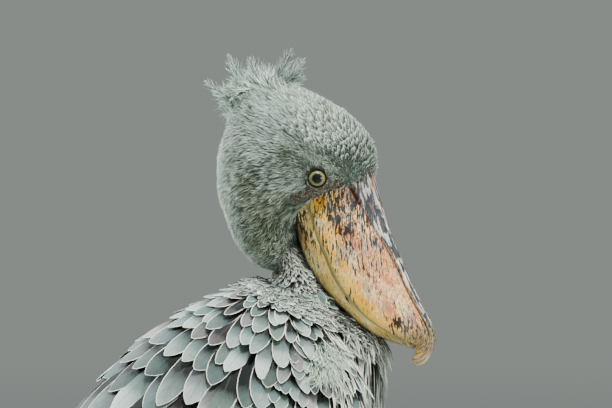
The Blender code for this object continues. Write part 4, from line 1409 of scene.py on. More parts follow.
@dataclass
class Bill:
    """The huge bill: ridged, grooved upper half with its hook, and the shallow lower half.

    A row holds the chord's upper and lower ends, the half width and, in the upper half, the
    culmen's half width. A section's pairs run from the top down. Each dark zone holds its
    place along the bill, its reach and how dark it is.
    """

    upper_rows: Rows = (
        (-0.0045, 0.081, -0.0045, 0.0015, 0.042, 0.0172), (0.0085, 0.0772, 0.0065, 0.0, 0.045, 0.0152),
        (0.0215, 0.0737, 0.0187, -0.002, 0.0475, 0.0135), (0.0506, 0.066, 0.0418, -0.0071, 0.05, 0.0105),
        (0.0769, 0.06, 0.069, -0.0113, 0.05, 0.009), (0.1136, 0.054, 0.0986, -0.0155, 0.048, 0.008),
        (0.14, 0.05, 0.1272, -0.0138, 0.044, 0.0078), (0.166, 0.0475, 0.1544, -0.0082, 0.0385, 0.0078),
        (0.19, 0.0462, 0.181, 0.0029, 0.031, 0.008), (0.2085, 0.0425, 0.1985, 0.0138, 0.0225, 0.008),
        (0.22, 0.0335, 0.2075, 0.0185, 0.0145, 0.007), (0.228, 0.0212, 0.213, 0.015, 0.009, 0.0045),
        (0.2303, 0.0108, 0.2165, 0.0082, 0.0055, 0.0028), (0.227, 0.002, 0.2205, 0.0014, 0.0022, 0.0012),
    )
    upper_section: Rows = ((0.12, 0.895), (0.42, 0.78), (0.74, 0.57), (0.94, 0.33), (1.0, 0.14), (0.97, 0.0))
    lower_rows: Rows = (
        (-0.03, 0.004, -0.028, -0.012, 0.039), (-0.012, 0.003, -0.008, -0.023, 0.043),
        (0.0187, 0.001, 0.019, -0.033, 0.046), (0.0418, -0.0041, 0.045, -0.04, 0.048),
        (0.069, -0.0083, 0.072, -0.042, 0.0478), (0.0986, -0.0125, 0.099, -0.0398, 0.0455),
        (0.1272, -0.0108, 0.128, -0.0322, 0.041), (0.1544, -0.0052, 0.156, -0.0242, 0.035),
        (0.181, 0.0059, 0.183, -0.0098, 0.027), (0.196, 0.015, 0.2, 0.003, 0.018),
        (0.206, 0.0185, 0.2095, 0.0105, 0.01),
    )
    lower_section: Rows = (
        (0.965, 1.0), (0.995, 0.93), (1.0, 0.75), (0.93, 0.45), (0.74, 0.15), (0.42, 0.0), (0.0, 0.02)
    )
    upper_steps: tuple[int, int] = (150, 84)
    lower_steps: tuple[int, int] = (110, 30)
    groove: Pair = (0.0011, 0.0014)
    slit: Pair = (0.0045, 0.0016)
    seam_gap: float = 0.0022
    nostril_drop: float = 0.021
    nostril: Pair = (0.003, 0.036)
    dark_zones: tuple[Triple, ...] = ((0.022, 0.045, 1.1), (0.09, 0.045, 0.55), (0.194, 0.024, 0.9))
    lower_zone: Triple = (0.01, 0.05, 0.95)

    def chord(self, row: Array) -> tuple[Array, Array, float]:
        """The lower end, the way up and the height of a row's chord."""
        top, low = np.array([row[0], 0, row[1]]), np.array([row[2], 0, row[3]])
        return low, unit(top - low), np.linalg.norm(top - low)

    def dark(self, x: float, *zones: Triple) -> float:
        """How dark the zones are at x along the bill."""
        return sum(level * math.exp(-(((x - middle) / reach) ** 2)) for middle, reach, level in zones)

    def upper(self, material: Material) -> None:
        """The upper half, with its nostril slits in the groove.

        Args:
            material: Its finish.
        """
        halves, horn, masks = [], [], []
        first, last = self.nostril
        along, across = self.upper_steps
        top = across // 2
        for row in smooth(self.upper_rows, np.linspace(0, 1, along)):
            (low, rise, height), x, half, ridge = self.chord(row), row[0], row[4], row[5]
            corners = [(0.0, 1.0), (0.55 * ridge, 0.995), (ridge, 0.955)]
            corners += [(ridge + (half - ridge) * w, h) for w, h in self.upper_section]
            line = smooth(np.array(corners), np.linspace(0, 1, across))
            wide, high = line[:, 0].copy(), line[:, 1] * height
            arc = run(wide, high)
            drop = self.nostril_drop * (1 - ease(x, 0.0, 0.125))
            seam = np.interp(ridge + self.seam_gap, wide[:top], arc[:top]) + drop
            notch = np.exp(-(((arc - seam) / self.groove[1]) ** 2)) * ease(x, -0.01, 0.01)
            notch = notch * (1 - ease(x, 0.2, 0.222))
            slit = np.exp(-(((arc - seam) / self.slit[1]) ** 2)) * ease(x, first - 0.003, first)
            slit = slit * (1 - ease(x, last - 0.003, last))
            inward = unit(np.stack([np.gradient(high, arc), -np.gradient(wide, arc)], -1))
            dent = self.groove[0] * notch + self.slit[0] * slit
            wide = wide + inward[:, 0] * dent * np.sign(wide.max())
            high = high + inward[:, 1] * dent
            wide[0] = 0.0
            side = [low + rise * h + np.array([0, w, 0]) for w, h in zip(wide, high)]
            halves.append(side + [low + rise * 0.0008 + np.array([0, half * s, 0]) for s in (0.6, 0.0)])
            part = np.stack([np.full_like(arc, x), arc, high / height], -1)
            horn.append(np.vstack([part, [(x, arc[-1] + 0.02, 0.0), (x, arc[-1] + 0.04, 0.0)]]))
            crest = (1 - ease(arc, seam - 0.003, seam - 0.0005)) * (0.75 + 0.25 * ease(x, 0.02, 0.08))
            crest = crest * (1 - ease(x, 0.205, 0.228) * 0.4)
            stain = self.dark(x, *self.dark_zones) * (0.6 + 0.4 * ease(high / height, 0.16, 0.4))
            found = np.stack([crest, np.clip(notch + slit, 0, 1), stain], -1)
            masks.append(np.vstack([found, np.zeros((2, 3))]))
        self.close("upper", halves, horn, masks, material)

    def lower(self, material: Material) -> None:
        """The lower half.

        Args:
            material: Its finish.
        """
        halves, horn, masks = [], [], []
        along, across = self.lower_steps
        line = smooth(self.lower_section, np.linspace(0, 1, across))
        for row in smooth(self.lower_rows, np.linspace(0, 1, along)):
            (low, rise, height), x = self.chord(row), row[0]
            wide, high = np.maximum(line[:, 0], 0) * row[4], line[:, 1] * height
            wide[-1] = 0.0
            arc = run(wide, high)
            lid = low + rise * (height - 0.0015)
            halves.append([lid] + [low + rise * h + np.array([0, w, 0]) for w, h in zip(wide, high)])
            part = np.stack([np.full_like(arc, x), arc, high / height], -1)
            part = np.vstack([[(x, -0.03, 1.0)], part])
            horn.append(part)
            stain = (self.dark(x, self.lower_zone) + 0.1) * (1 - 0.6 * ease(part[:, 2], 0.7, 0.95))
            masks.append(np.stack([0 * stain, 0 * stain, stain], -1))
        self.close("lower", halves, horn, masks, material)

    def close(self, word: str, halves: list, horn: list, masks: list, material: Material) -> None:
        """Mirrors and closes one half of the bill, and stores its own measures.

        Args:
            word: Upper or lower.
            halves: The left side of each section, in the bill's frame.
            horn: Along, arc and height at each point.
            masks: Ridge, groove and blotch at each point.
            material: Its finish.
        """
        flip = np.array((1.0, -1.0, 1.0))
        sets = ((np.array(halves), flip), (np.array(horn), flip), (np.array(masks), 1.0))
        rings, measures, marks = (np.concatenate([v, v[:, -2:0:-1] * sign], 1) for v, sign in sets)
        points, faces = ring_body(rings)
        mesh = mesh_of(f"bill_{word}_horn", carried(points, POSE.bill()), faces)
        add_attribute(mesh, "horn", measures.reshape(-1, 3))
        for k, name in enumerate(("ridge", "groove", "blotch")):
            add_attribute(mesh, name, marks.reshape(-1, 3)[:, k])
        mesh.shade_smooth()
        piece_of(mesh.name, mesh, material, "horn", f"bill_{word}")

    def holds(self, points: Array, margin: float) -> Array:
        """Whether points lie inside the bill.

        Args:
            points: Places in the bird's frame.
            margin: How far outside still counts.

        Returns:
            True where they do.
        """
        local = carried(points, POSE.bill().inverted())
        x, y, z = local[..., 0], np.abs(local[..., 1]), local[..., 2]
        inside = np.zeros(x.shape, bool)
        for rows in (np.array(self.upper_rows)[:11], np.array(self.lower_rows)):
            mid = 0.5 * (rows[:, 0] + rows[:, 2])
            top, low, half = (np.interp(x, mid, rows[:, k]) for k in (1, 3, 4))
            high, bottom = np.maximum(top, low), np.minimum(top, low)
            lean = np.clip((z - bottom) / np.maximum(high - bottom, 1e-4), 0, 1)
            squeeze = 1 - 0.72 * lean**2.2 if rows.shape[1] == 6 else 0.6 + 0.4 * lean
            near = (x > mid[0] - margin) & (x < mid[-1]) & (z > bottom - margin) & (z < high + margin)
            inside |= near & (y < half * squeeze + margin)
        return inside


@dataclass
class Eye:
    """An eyeball that bulges a little at its front, and the bare folded lids round it.

    The lids' profile holds distances from the eye's axis and heights along it.
    """

    ball_finish: Material
    lid_finish: Material
    iris: float = 0.01
    bulge: float = 0.0007
    margin: float = 0.0112
    lid_profile: Rows = (
        (0.0102, 0.008), (0.0099, 0.0096), (0.0101, 0.0108), (0.0108, 0.0114), (0.0115, 0.0111),
        (0.0121, 0.0108), (0.0129, 0.0113), (0.0138, 0.0112), (0.0146, 0.01), (0.0152, 0.008),
    )
    lid_steps: int = 120

    def build(self, side: Side) -> None:
        """Makes the eyeball and the lids of one side.

        Args:
            side: Which eye.
        """
        centre, aim = POSE.eye(side)
        ahead = unit(np.cross(np.cross(aim, (1.0, 0.0, 0.0)), aim))
        over = np.cross(ahead, aim) * -side.value
        self.ball(side.word, centre, ahead, over, aim)
        self.lids(side, centre, ahead, over, aim)

    def ball(self, word: str, *axes: Array) -> None:
        """The eyeball.

        Args:
            word: Its side.
            axes: Its centre, the way to the bill, the way up and the way it looks.
        """
        centre, ahead, over, aim = axes
        radius = POSE.eye_radius
        tilt = np.linspace(0.004, math.pi - 0.02, 48)[:, None]
        turn = (np.arange(56) * 2 * math.pi / 56)[None]
        swell = radius + self.bulge * np.exp(-((np.sin(tilt) * radius / self.iris) ** 4)) * (tilt < 1.5)
        away = np.sin(tilt)[..., None] * (np.cos(turn)[..., None] * ahead + np.sin(turn)[..., None] * over)
        rings = centre + swell[..., None] * (away + np.cos(tilt)[..., None] * aim)
        mesh = mesh_of(f"eyeball_{word}", *ring_body(rings))
        reach = np.broadcast_to(np.where(tilt < 1.5, np.sin(tilt) * radius, 0.03), rings.shape[:2])
        rays = np.broadcast_to(np.cos(turn), reach.shape)
        add_attribute(mesh, "iris", np.stack([reach, rays, 0 * reach], -1).reshape(-1, 3))
        mesh.shade_smooth()
        piece_of(mesh.name, mesh, self.ball_finish, "eye", f"eye_{word}")

    def lids(self, side: Side, *axes: Array) -> None:
        """The lids: a rolled edge on the eye and two soft folds behind it.

        Args:
            side: Which eye.
            axes: Its centre, the way to the bill, the way up and the way it looks.
        """
        centre, ahead, over, aim = axes
        count = self.lid_steps
        turn = np.arange(count) * 2 * math.pi / count
        profile = smooth(self.lid_profile, np.linspace(0, 1, 34))
        out = np.cos(turn)[:, None] * ahead + np.sin(turn)[:, None] * over * 0.95
        crease = 0.00022 * np.sin(turn * 23.0 + 1.5 * np.sin(turn * 5.0))
        hood = 0.0016 * np.clip(np.sin(turn), 0, 1) ** 2
        rings = []
        for share, (radius, height) in zip(np.linspace(0, 1, len(profile)), profile):
            lift = height + crease * math.sin(math.pi * share) + hood * share * 0.8
            rings.append(centre + out * (radius - hood * (1 - share) * 0.6)[:, None] + aim * lift[:, None])
        rings.append(centre + out * (profile[-1, 0] - 0.004) + aim * 0.004)
        rings.append(centre + out * 0.0085 + aim * 0.005)
        steps, points = len(rings), np.concatenate(rings)
        i, k = np.meshgrid(np.arange(steps), np.arange(count), indexing="ij")
        j, n = (i + 1) % steps, (k + 1) % count
        quads = np.stack([i * count + k, i * count + n, j * count + n, j * count + k], -1).reshape(-1, 4)
        mesh = mesh_of(f"eyelids_{side.word}", points, [quads[:, :: int(-side.value)]])
        with reworked(mesh) as work:
            bmesh.ops.recalc_face_normals(work, faces=work.faces)
        away = points - centre
        reach = np.linalg.norm(away - (away @ aim)[:, None] * aim, axis=1)
        margin = 1 - ease(reach, self.margin, self.margin + 0.0012)
        marks = (*MARKINGS_AND_PAINTED_LIGHT.at(points), np.ones(len(points)), margin)
        for name, values in zip(("tone", "warm", "bare", "margin"), marks):
            add_attribute(mesh, name, values)
        mesh.shade_smooth()
        piece_of(mesh.name, mesh, self.lid_finish, "plumage")


@dataclass
class HeadCoat:
    """Short soft feathers of the head, each a small fan of barbs, and the loose crest.

    A crest row holds the root's x and z, the tip's x and z, and the root's and the tip's y.
    """

    bill: Bill
    soft: Material
    scaly: Material
    face_fans: int = 4300
    nape_fans: int = 3000
    fingers: int = 6
    face_length: float = 0.0062
    nape_length: float = 0.011
    finger_width: float = 0.115
    splay: float = 0.7
    scales: int = 1500
    scale_size: Pair = (0.0082, 0.005)
    flow_from: Triple = (0.06, 0.0, 0.96)
    eye_gap: float = 0.0116
    eddy: float = 0.012
    sink: float = 0.0034
    face_from: float = -0.012
    bare_limit: float = 0.9
    crest_rows: Rows = (
        (-0.078, 1.05, -0.119, 1.0848, -0.012, -0.024), (-0.076, 1.054, -0.113, 1.072, 0.012, 0.028),
        (-0.074, 1.052, -0.105, 1.076, -0.02, -0.034), (-0.073, 1.064, -0.103, 1.1102, 0.006, 0.012),
        (-0.069, 1.067, -0.0931, 1.1162, -0.006, -0.012), (-0.062, 1.073, -0.08, 1.104, 0.016, 0.03),
        (-0.056, 1.076, -0.064, 1.1142, -0.01, -0.014), (-0.05, 1.078, -0.0526, 1.1032, 0.01, 0.016),
        (-0.044, 1.077, -0.0154, 1.1235, -0.004, -0.006), (-0.036, 1.079, -0.0053, 1.111, 0.008, 0.012),
        (-0.028, 1.079, -0.002, 1.099, -0.01, -0.014),
    )
    small_crest: float = 0.62
    crest_width: float = 0.0034
    shaft_width: float = 0.0009
    barbs: int = 27
    barb_length: float = 0.0135
    barb_width: float = 0.00085
    fluff: int = 2000
    fluff_way: Triple = (-0.65, 0.0, 0.55)

    def clear(self, path: Path) -> Array:
        """Which feathers keep clear of the eyes and the bill.

        Args:
            path: Their lines.

        Returns:
            True for each that does.
        """
        keep = np.ones(len(path.points), bool)
        for side in Side:
            centre, aim = POSE.eye(side)
            away = path.points - centre
            depth = dot(away, aim)
            radius = np.linalg.norm(away - depth * aim, axis=-1)
            limit = np.where(np.arange(path.points.shape[1]) == 0, self.eye_gap + 0.001, self.eye_gap - 0.001)
            keep &= ~((radius < limit) & (depth[..., 0] > 0)).any(1)
        keep &= ~self.bill.holds(path.points[:, 0], 0.0004)
        return keep & ~self.bill.holds(path.points[:, -1] + path.normals[:, -1] * 0.002, -0.001)

    def lie(self, coat: Coat, roots: Roots, side: Side, scatter: float) -> Array:
        """Headings of feathers: the flow from the bill, round the eye and back, with eddies in it.

        Args:
            coat: Whose random draw is used.
            roots: Where they grow.
            side: The side of the head.
            scatter: How far single feathers stray.

        Returns:
            Angles from straight along the head.
        """
        root = roots.at()
        local = POSE.unturned(root)
        way = unit(local - np.array(self.flow_from))
        way[..., 2] -= 0.55 * np.clip((0.02 - local[..., 0]) / 0.1, 0, 1)
        away = local - np.array(POSE.eye_centre) * (1, side.value, 1)
        near = np.exp(-(((np.linalg.norm(away, axis=-1) - 0.016) / 0.007) ** 2))
        way = unit(way) + unit(away) * (1.6 * near)[..., None]
        x, _, z = (root / self.eddy).T
        swirl = np.sin(x * 1.3 + 2.1 * np.sin(z * 0.9)) * np.cos(z * 1.1 + 1.0)
        return roots.heading(POSE.turned(way)) + 0.34 * swirl + coat.jitter(len(roots), scatter)

    def fan(self, coat: Coat, roots: Roots, side: Side) -> None:
        """Lays fans of barbs, each fan one small feather.

        Args:
            coat: Where they go.
            roots: Where they grow.
            side: The side of the head.
        """
        root, _, _, _, scale_u, scale_a = HEAD.frames(roots.u, roots.a)
        count = len(roots)
        gap = np.linalg.norm(POSE.unturned(root) - np.array(self.flow_from), axis=-1)
        face = 1 - ease(gap, 0.045, 0.14)
        heading = self.lie(coat, roots, side, 0.3)
        length = coat.vary(self.nape_length + (self.face_length - self.nape_length) * face, count, 0.16)
        tone, warm = coat.jitter(count, 0.1), coat.jitter(count, 0.12)
        lift = 0.0012 + 0.0012 * (1 - face) + coat.jitter(count, 0.0006)
        for share in np.linspace(-1, 1, self.fingers):
            turn = heading + self.splay * share * (0.7 + 0.3 * face) + coat.jitter(count, 0.12)
            slip = 0.1 * length * share + coat.jitter(count, 0.0003)
            reach = coat.vary(length * (1 - 0.2 * share**2), count, 0.12)
            u, a = roots.u - slip * np.sin(heading) / scale_u, roots.a + slip * np.cos(heading) / scale_a
            coat.cover(
                Roots(HEAD, u, a), BARB, turn, reach, reach * self.finger_width, self.sink,
                lift + coat.jitter(count, 0.0004),
                roll=coat.jitter(count, 0.4), tone=tone, warm=warm, spread=0.15,
                bend=-0.5 * share + coat.jitter(count, 0.15), keep=self.clear,
            )

    def forehead(self, coat: Coat, span: Pair, side: Side) -> None:
        """Small stiff vanes over the forehead and the brow, like scales.

        Args:
            coat: Where they go.
            span: The stretch round the head that the side covers.
            side: The side of the head.
        """
        roots = HEAD.scatter(self.scales, (0.02, 0.75), span)
        local = POSE.unturned(roots.at())
        high = ease(local[:, 2] + 0.55 * local[:, 0], 1.018, 1.04) * ease(local[:, 0], -0.01, 0.025)
        roots = roots.where(coat.random.random(len(roots)) < high)
        count = len(roots)
        length, width = (coat.vary(size, count, 0.16) for size in self.scale_size)
        coat.cover(
            roots, SCALE, self.lie(coat, roots, side, 0.22), length, width, self.sink,
            0.0022 + coat.jitter(count, 0.0005), roll=coat.jitter(count, 0.16), warm=-0.15, spread=0.1,
            keep=self.clear,
        )
        coat.finish(self.scaly)

    def plume(self, coat: Coat, row: Array, number: int) -> None:
        """One plume of the crest: its vane, its shaft and loose barbs along both edges.

        Args:
            coat: Where it goes.
            row: Root x and z, tip x and z, root y and tip y.
            number: Its place in the crest.
        """
        root, tip = carried([(row[0], row[4], row[1]), (row[2], row[5], row[3])], POSE.head())
        way, reach = unit(tip - root), np.linalg.norm(tip - root)
        flat = np.array((0.25 * (-1) ** number, -1.0, 0.15))
        normal = unit(flat - way * flat.dot(way))
        root = root - way * 0.16 * reach
        reach *= 1.16

        def line(t: Array) -> Array:
            """Points of the plume's shaft at shares of its length."""
            t = np.asarray(t, float)[..., None]
            return root + way * reach * t + normal * (0.07 * reach) * np.sin(t * 2.6)

        tone, warm = MARKINGS_AND_PAINTED_LIGHT.at(root[None])
        place, one = np.array([[0.03 + 0.06 * (number % 16), 0.02]]), np.ones(1)
        for cut, width in ((PLUME, self.crest_width), (BARB, self.shaft_width)):
            points = line(cut.spots)[None] + (normal * 0.0006 if cut is BARB else 0.0)
            path = Path(points, unit(np.gradient(points, axis=1)), np.broadcast_to(normal, points.shape))
            coat.add(cut, path, one * reach, one * width, place, tone + 0.04, warm - 0.1)
        count = self.barbs
        for hand in (-1.0, 1.0):
            t = np.linspace(0.1, 0.985, count) + coat.jitter(count, 0.008)
            base = line(t)
            lead = unit(line(t + 0.01) - base)
            across = unit(np.cross(normal, lead)) * hand
            splay = (np.radians(36.0 - 18.0 * t) + coat.jitter(count, 0.13))[:, None]
            heading = lead * np.cos(splay) + across * np.sin(splay)
            heading = unit(heading + normal * coat.jitter(count, 0.16)[:, None])
            length = self.barb_length * (0.26 + 0.98 * np.sin(np.pi * np.clip(t, 0, 1) ** 0.9))
            length = coat.vary(length, count, 0.2)
            half = 0.3 * self.crest_width * np.interp(t, *np.array(PLUME.outline).T)
            start = base + across * half[:, None]
            path = straight(start, heading, length, BARB, normal)
            patch = place + np.stack([t * 0.02, 0.08 + 0.1 * hand + t * 0.3], -1)
            tones = tone[0] + 0.02 + coat.jitter(count, 0.16)
            width = coat.vary(np.full(count, self.barb_width), count, 0.2)
            warms = np.full(count, warm[0] - 0.1)
            coat.add(BARB, path, length, width, patch, tones, warms, roll=coat.jitter(count, 0.3))

    def foot(self, coat: Coat) -> None:
        """Long soft barbs on the crown that rise into the crest.

        Args:
            coat: Where they go.
        """
        roots = HEAD.scatter(self.fluff * 5, (0.004, 0.3), WHOLE)
        local = POSE.unturned(roots.at())
        near = (1 - ease(local[:, 0], -0.04, 0.012)) * ease(local[:, 2], 1.028, 1.052)
        near = near * (1 - ease(np.abs(local[:, 1]), 0.024, 0.048))
        keep = coat.random.random(len(roots)) < near
        roots, near, height = roots.where(keep), near[keep], local[keep][:, 2]
        count = len(roots)
        way = np.tile(POSE.turned(np.array(self.fluff_way)), (count, 1))
        heading = roots.heading(way) + coat.jitter(count, 0.45)
        length = coat.vary(0.011 + 0.017 * near, count, 0.25)
        lift = 0.002 + coat.vary(0.0135 * near, count, 0.45)
        # Painted light: the fluff low on the crown is paler, to lift the shade under the crest's plumes.
        tone = 0.22 * (1 - ease(height, 1.055, 1.08))
        coat.cover(
            roots, BARB, heading, length, length * 0.1, self.sink, lift, tone=tone, spread=0.16, curve=1.4
        )

    def build(self) -> None:
        """Covers each side of the head in nape, face and scaly forehead, and adds the crest."""
        for number, side in enumerate(Side):
            span = (math.pi * number, math.pi * (number + 1))
            for part, (word, count) in enumerate((("nape", self.nape_fans), ("face", self.face_fans))):
                coat = Coat(f"{word}_feathers_{side.word}", 20 + 4 * number + part)
                roots = HEAD.scatter(count, (0.004, 0.985), span)
                root = roots.at()
                front = POSE.unturned(root)[:, 0] > self.face_from
                feathered = MARKINGS_AND_PAINTED_LIGHT.bare(root) < self.bare_limit
                self.fan(coat, roots.where(feathered & (front == bool(part))), side)
                coat.finish(self.soft)
            self.forehead(Coat(f"forehead_feathers_{side.word}", 23 + 4 * number), span, side)
        coat = Coat("crest_plumes", 3)
        rows = np.array(self.crest_rows)
        small = rows.copy()
        small[:, 2:4] = rows[:, :2] + (rows[:, 2:4] - rows[:, :2]) * self.small_crest
        small[:, 4:] *= -0.9
        small[:, 0] += 0.004
        for number, row in enumerate(np.vstack([rows, small[::2]])):
            self.plume(coat, row, number)
        self.foot(coat)
        coat.finish(self.soft)


@dataclass(frozen=True)
class Strewing:
    """Small pointed feathers over a stretch of a form.

    size holds length, width and the tips' height; near, if set, is how close to the bill they stay.
    """

    form: Form
    count: int
    along: Pair
    around: Pair
    size: Triple
    tone: float
    near: float | None = None


FRONT = (0.5 * math.pi, 1.5 * math.pi)
NECK_STREWINGS = (Strewing(NECK, 3200, (0.08, 0.97), WHOLE, (0.016, 0.0036, 0.0034), -0.34),)
# The throat's feathers by the bill are paler than the neck's: painted light that lifts the shade under the
# bill.
THROAT_STREWINGS = (
    Strewing(NECK, 3600, (0.3, 0.99), FRONT, (0.015, 0.0034, 0.0095), -0.12, 0.026),
    Strewing(TORSO, 3600, (0.003, 0.16), FRONT, (0.015, 0.0034, 0.0095), -0.12, 0.026),
)
MANTLE_STREWINGS = (
    Strewing(TORSO, 900, (0.012, 0.16), (-1.7, 1.7), (0.03, 0.01, 0.0034), -0.26),
    Strewing(NECK, 900, (0.46, 0.9), WHOLE, (0.028, 0.0085, 0.015), -0.28),
) + tuple(
    Strewing(wing, 700, (0.0, 0.065), (0.0, float(wing_span(0.0))), (0.019, 0.0064, 0.004), -0.28)
    for wing in WINGS.values()
)


@dataclass
class NeckCoat:
    """Fine streaky feathers of the drawn-in neck, and the down and long plumes of the breast.

    A plume row holds where it starts along the trunk, its plumes on each side of the middle, their
    length, how far round they reach and the tips' height.
    """

    bill: Bill
    streaky: Material
    scaly: Material
    soft: Material
    down_count: int = 12000
    down_at: Pair = (0.025, 0.756)
    down_size: Pair = (0.0155, 0.0185)
    plume_rows: tuple[tuple[float, int, float, float, float], ...] = (
        (0.005, 17, 0.06, 0.9, 0.013), (0.02, 20, 0.07, 1.0, 0.014), (0.045, 22, 0.08, 1.1, 0.013),
        (0.07, 24, 0.09, 1.15, 0.011), (0.1, 26, 0.1, 1.2, 0.009), (0.13, 28, 0.11, 1.25, 0.007),
        (0.16, 28, 0.115, 1.3, 0.006), (0.2, 28, 0.115, 1.3, 0.006), (0.25, 28, 0.11, 1.3, 0.005),
    )
    plume_width: float = 0.0066

    def clear(self, path: Path) -> Array:
        """Which feathers keep out of the bill."""
        return ~self.bill.holds(path.points, -0.0015).any(1)

    def strew(self, name: str, seed: int, strewings: tuple[Strewing, ...], material: Material) -> None:
        """Makes one piece of strewn feathers.

        Args:
            name: The piece's name.
            seed: Its random draw.
            strewings: What is strewn where.
            material: Its finish.
        """
        coat = Coat(name, seed)
        for spec in strewings:
            roots = spec.form.scatter(spec.count, spec.along, spec.around)
            if spec.near is not None:
                roots = roots.where(self.bill.holds(roots.at(), spec.near))
            count = len(roots)
            length, width, lift = (coat.vary(size, count, 0.16) for size in spec.size)
            coat.cover(
                roots, BODY_FEATHER, coat.jitter(count, 0.2), length, width, 0.004, lift,
                roll=coat.jitter(count, 0.25), tone=spec.tone, warm=-0.1, spread=0.14, keep=self.clear,
            )
        coat.finish(material)

    def down(self) -> None:
        """A tuft of pale down that shows at the front of each folded wing."""
        coat = Coat("breast_down", 14)
        for side in Side:
            arch = float(wing_span(0.1))
            spans = ((WINGS[side], (0.5 * arch, 1.02 * arch)), (TORSO, (math.pi - 1.8, math.pi + 1.8)))
            for form, span in spans:
                roots = form.scatter(self.down_count, (0.01, 0.3), span)
                root = roots.at()
                gap = (root[:, ::2] - np.array(self.down_at)) / np.array(self.down_size)
                near = np.hypot(*gap.T) + coat.jitter(len(roots), 0.3) < 1.0
                roots = roots.where(near & (root[:, 1] * side.value > 0.03))
                count = len(roots)
                length = coat.vary(0.017, count, 0.2)
                coat.cover(
                    roots, BARB, coat.jitter(count, 0.38), length, length * 0.085, 0.003,
                    coat.vary(0.011, count, 0.3), roll=coat.jitter(count, 0.4), tone=0.38, warm=0.36,
                    spread=0.14, curve=0.8, bend=coat.jitter(count, 0.5), keep=self.clear,
                )
        coat.finish(self.soft)

    def plumes(self) -> None:
        """Narrow plumes in rows down the breast, each streaked along its shaft."""
        coat = Coat("breast_plumes", 5)
        for start, half, reach, spread, lift in self.plume_rows:
            share = np.arange(2 * half + 1) / half - 1.0
            count = len(share)
            u = np.maximum(start + coat.jitter(count, 0.008), 0.002)
            roots = Roots(TORSO, u, math.pi + spread * share + coat.jitter(count, 0.03))
            length = coat.vary(reach, count, 0.14) * (1 - 0.25 * np.abs(share))
            width = coat.vary(self.plume_width, count, 0.2)
            coat.cover(
                roots, PLUME, coat.jitter(count, 0.1) - 0.1 * share, length, width, 0.0045,
                coat.vary(lift, count, 0.25), roll=coat.jitter(count, 0.28), tone=-0.14, spread=0.26,
                bend=coat.jitter(count, 0.25), keep=self.clear,
            )
        coat.finish(self.streaky)

    def build(self) -> None:
        """Covers the neck, the throat, the mantle with the shoulders' front, and the breast."""
        self.strew("neck_feathers", 4, NECK_STREWINGS, self.streaky)
        self.strew("throat_feathers", 13, THROAT_STREWINGS, self.streaky)
        self.strew("mantle_feathers", 12, MANTLE_STREWINGS, self.scaly)
        self.down()
        self.plumes()


@dataclass
class BodyCoat:
    """Soft grey feathers of the belly, flanks, rump and thighs."""

    material: Material
    belly_count: int = 4600
    thigh_count: int = 900

    def open_to_air(self, path: Path) -> Array:
        """Which feathers no wing covers.

        Args:
            path: Their lines.

        Returns:
            True for each that is open.
        """
        edge = smooth(WING_ROWS, np.linspace(0, 1, 60))
        root = path.points[:, 0]
        order = np.argsort(edge[:, 3])
        limit = np.interp(root[:, 2], edge[order, 3], edge[order, 2])
        return (root[:, 0] > limit - 0.03) | (root[:, 2] < 0.56)

    def lay(
        self, coat: Coat, roots: Roots, size: Pair, fade: float, depth: Pair, keep: Callable | None
    ) -> None:
        """Makes one piece of soft feathers.

        Args:
            coat: Its feathers' store.
            roots: Where they grow.
            size: Length and width.
            fade: How much smaller they are at the form's end.
            depth: Depth of the roots and height of the tips.
            keep: Picks the feathers that stay.
        """
        count = len(roots)
        length, width = (coat.vary(s * (1 - fade * roots.u), count, 0.12) for s in size)
        coat.cover(
            roots, BODY_FEATHER, coat.jitter(count, 0.12), length, width, *depth,
            roll=coat.jitter(count, 0.14), spread=0.07, keep=keep,
        )
        coat.finish(self.material)

    def build(self) -> None:
        """Covers the trunk and both thighs."""
        roots = TORSO.scatter(self.belly_count, (0.2, 0.992), WHOLE)
        self.lay(Coat("belly_feathers", 6), roots, (0.048, 0.0165), 0.0, (0.0045, 0.005), self.open_to_air)
        for number, side in enumerate(Side):
            roots = THIGHS[side].scatter(self.thigh_count, (0.02, 0.985), WHOLE)
            coat = Coat(f"thigh_feathers_{side.word}", 7 + number)
            self.lay(coat, roots, (0.034, 0.012), 0.45, (0.0035, 0.003), None)


@dataclass(frozen=True)
class Tract:
    """Rows of wing feathers of one kind.

    rows holds where the first and the last row start and how many there are, span the stretch
    round the wing, length and width the feathers of those two rows, and turn the headings at
    the span's two ends. Above 1, growth sets the first rows closer together than the last.
    """

    cut: Cut
    rows: tuple[float, float, int]
    span: Pair
    length: Pair
    width: Pair
    turn: Pair = (0.0, 0.05)
    sink: float = 0.006
    lift: float = 0.001
    tone: float = 0.0
    spread: float = 0.11
    spacing: float = 0.56
    growth: float = 1.0


WING_TRACTS = (
    Tract(QUILL, (0.7, 0.76, 3), (0.35, 0.96), (0.203, 0.17), (0.033, 0.031), lift=-0.001, tone=-0.22),
    Tract(QUILL, (0.62, 0.62, 1), (0.42, 0.96), (0.15, 0.15), (0.034, 0.034), lift=0.0, tone=-0.12),
    Tract(QUILL, (0.535, 0.565, 2), (0.22, 0.97), (0.22, 0.21), (0.041, 0.04), lift=0.0005, tone=-0.12),
    Tract(QUILL, (0.5, 0.6, 3), (0.03, 0.34), (0.215, 0.2), (0.05, 0.048), (-0.05, 0.02), tone=-0.06),
    Tract(COVERT, (0.445, 0.445, 1), (0.1, 0.97), (0.13, 0.13), (0.038, 0.038), (0.0, 0.14), tone=-0.03),
    Tract(COVERT, (0.385, 0.415, 2), (0.3, 0.98), (0.098, 0.102), (0.036, 0.037), (0.1, 0.22), lift=0.0022),
    Tract(COVERT, (0.03, 0.36, 12), (0.6, 0.985), (0.026, 0.052), (0.0125, 0.026), (0.34, 0.26), lift=0.003),
    Tract(
        COVERT, (0.006, 0.4, 12), (0.015, 0.68), (0.026, 0.125), (0.013, 0.047), (-0.14, 0.5),
        lift=0.0034, growth=1.45, spacing=0.6, spread=0.17,
    ),
    Tract(
        PLUME, (0.004, 0.3, 10), (0.84, 1.02), (0.036, 0.07), (0.0055, 0.0075), (0.2, 0.05),
        lift=0.005, spread=0.24,
    ),
)


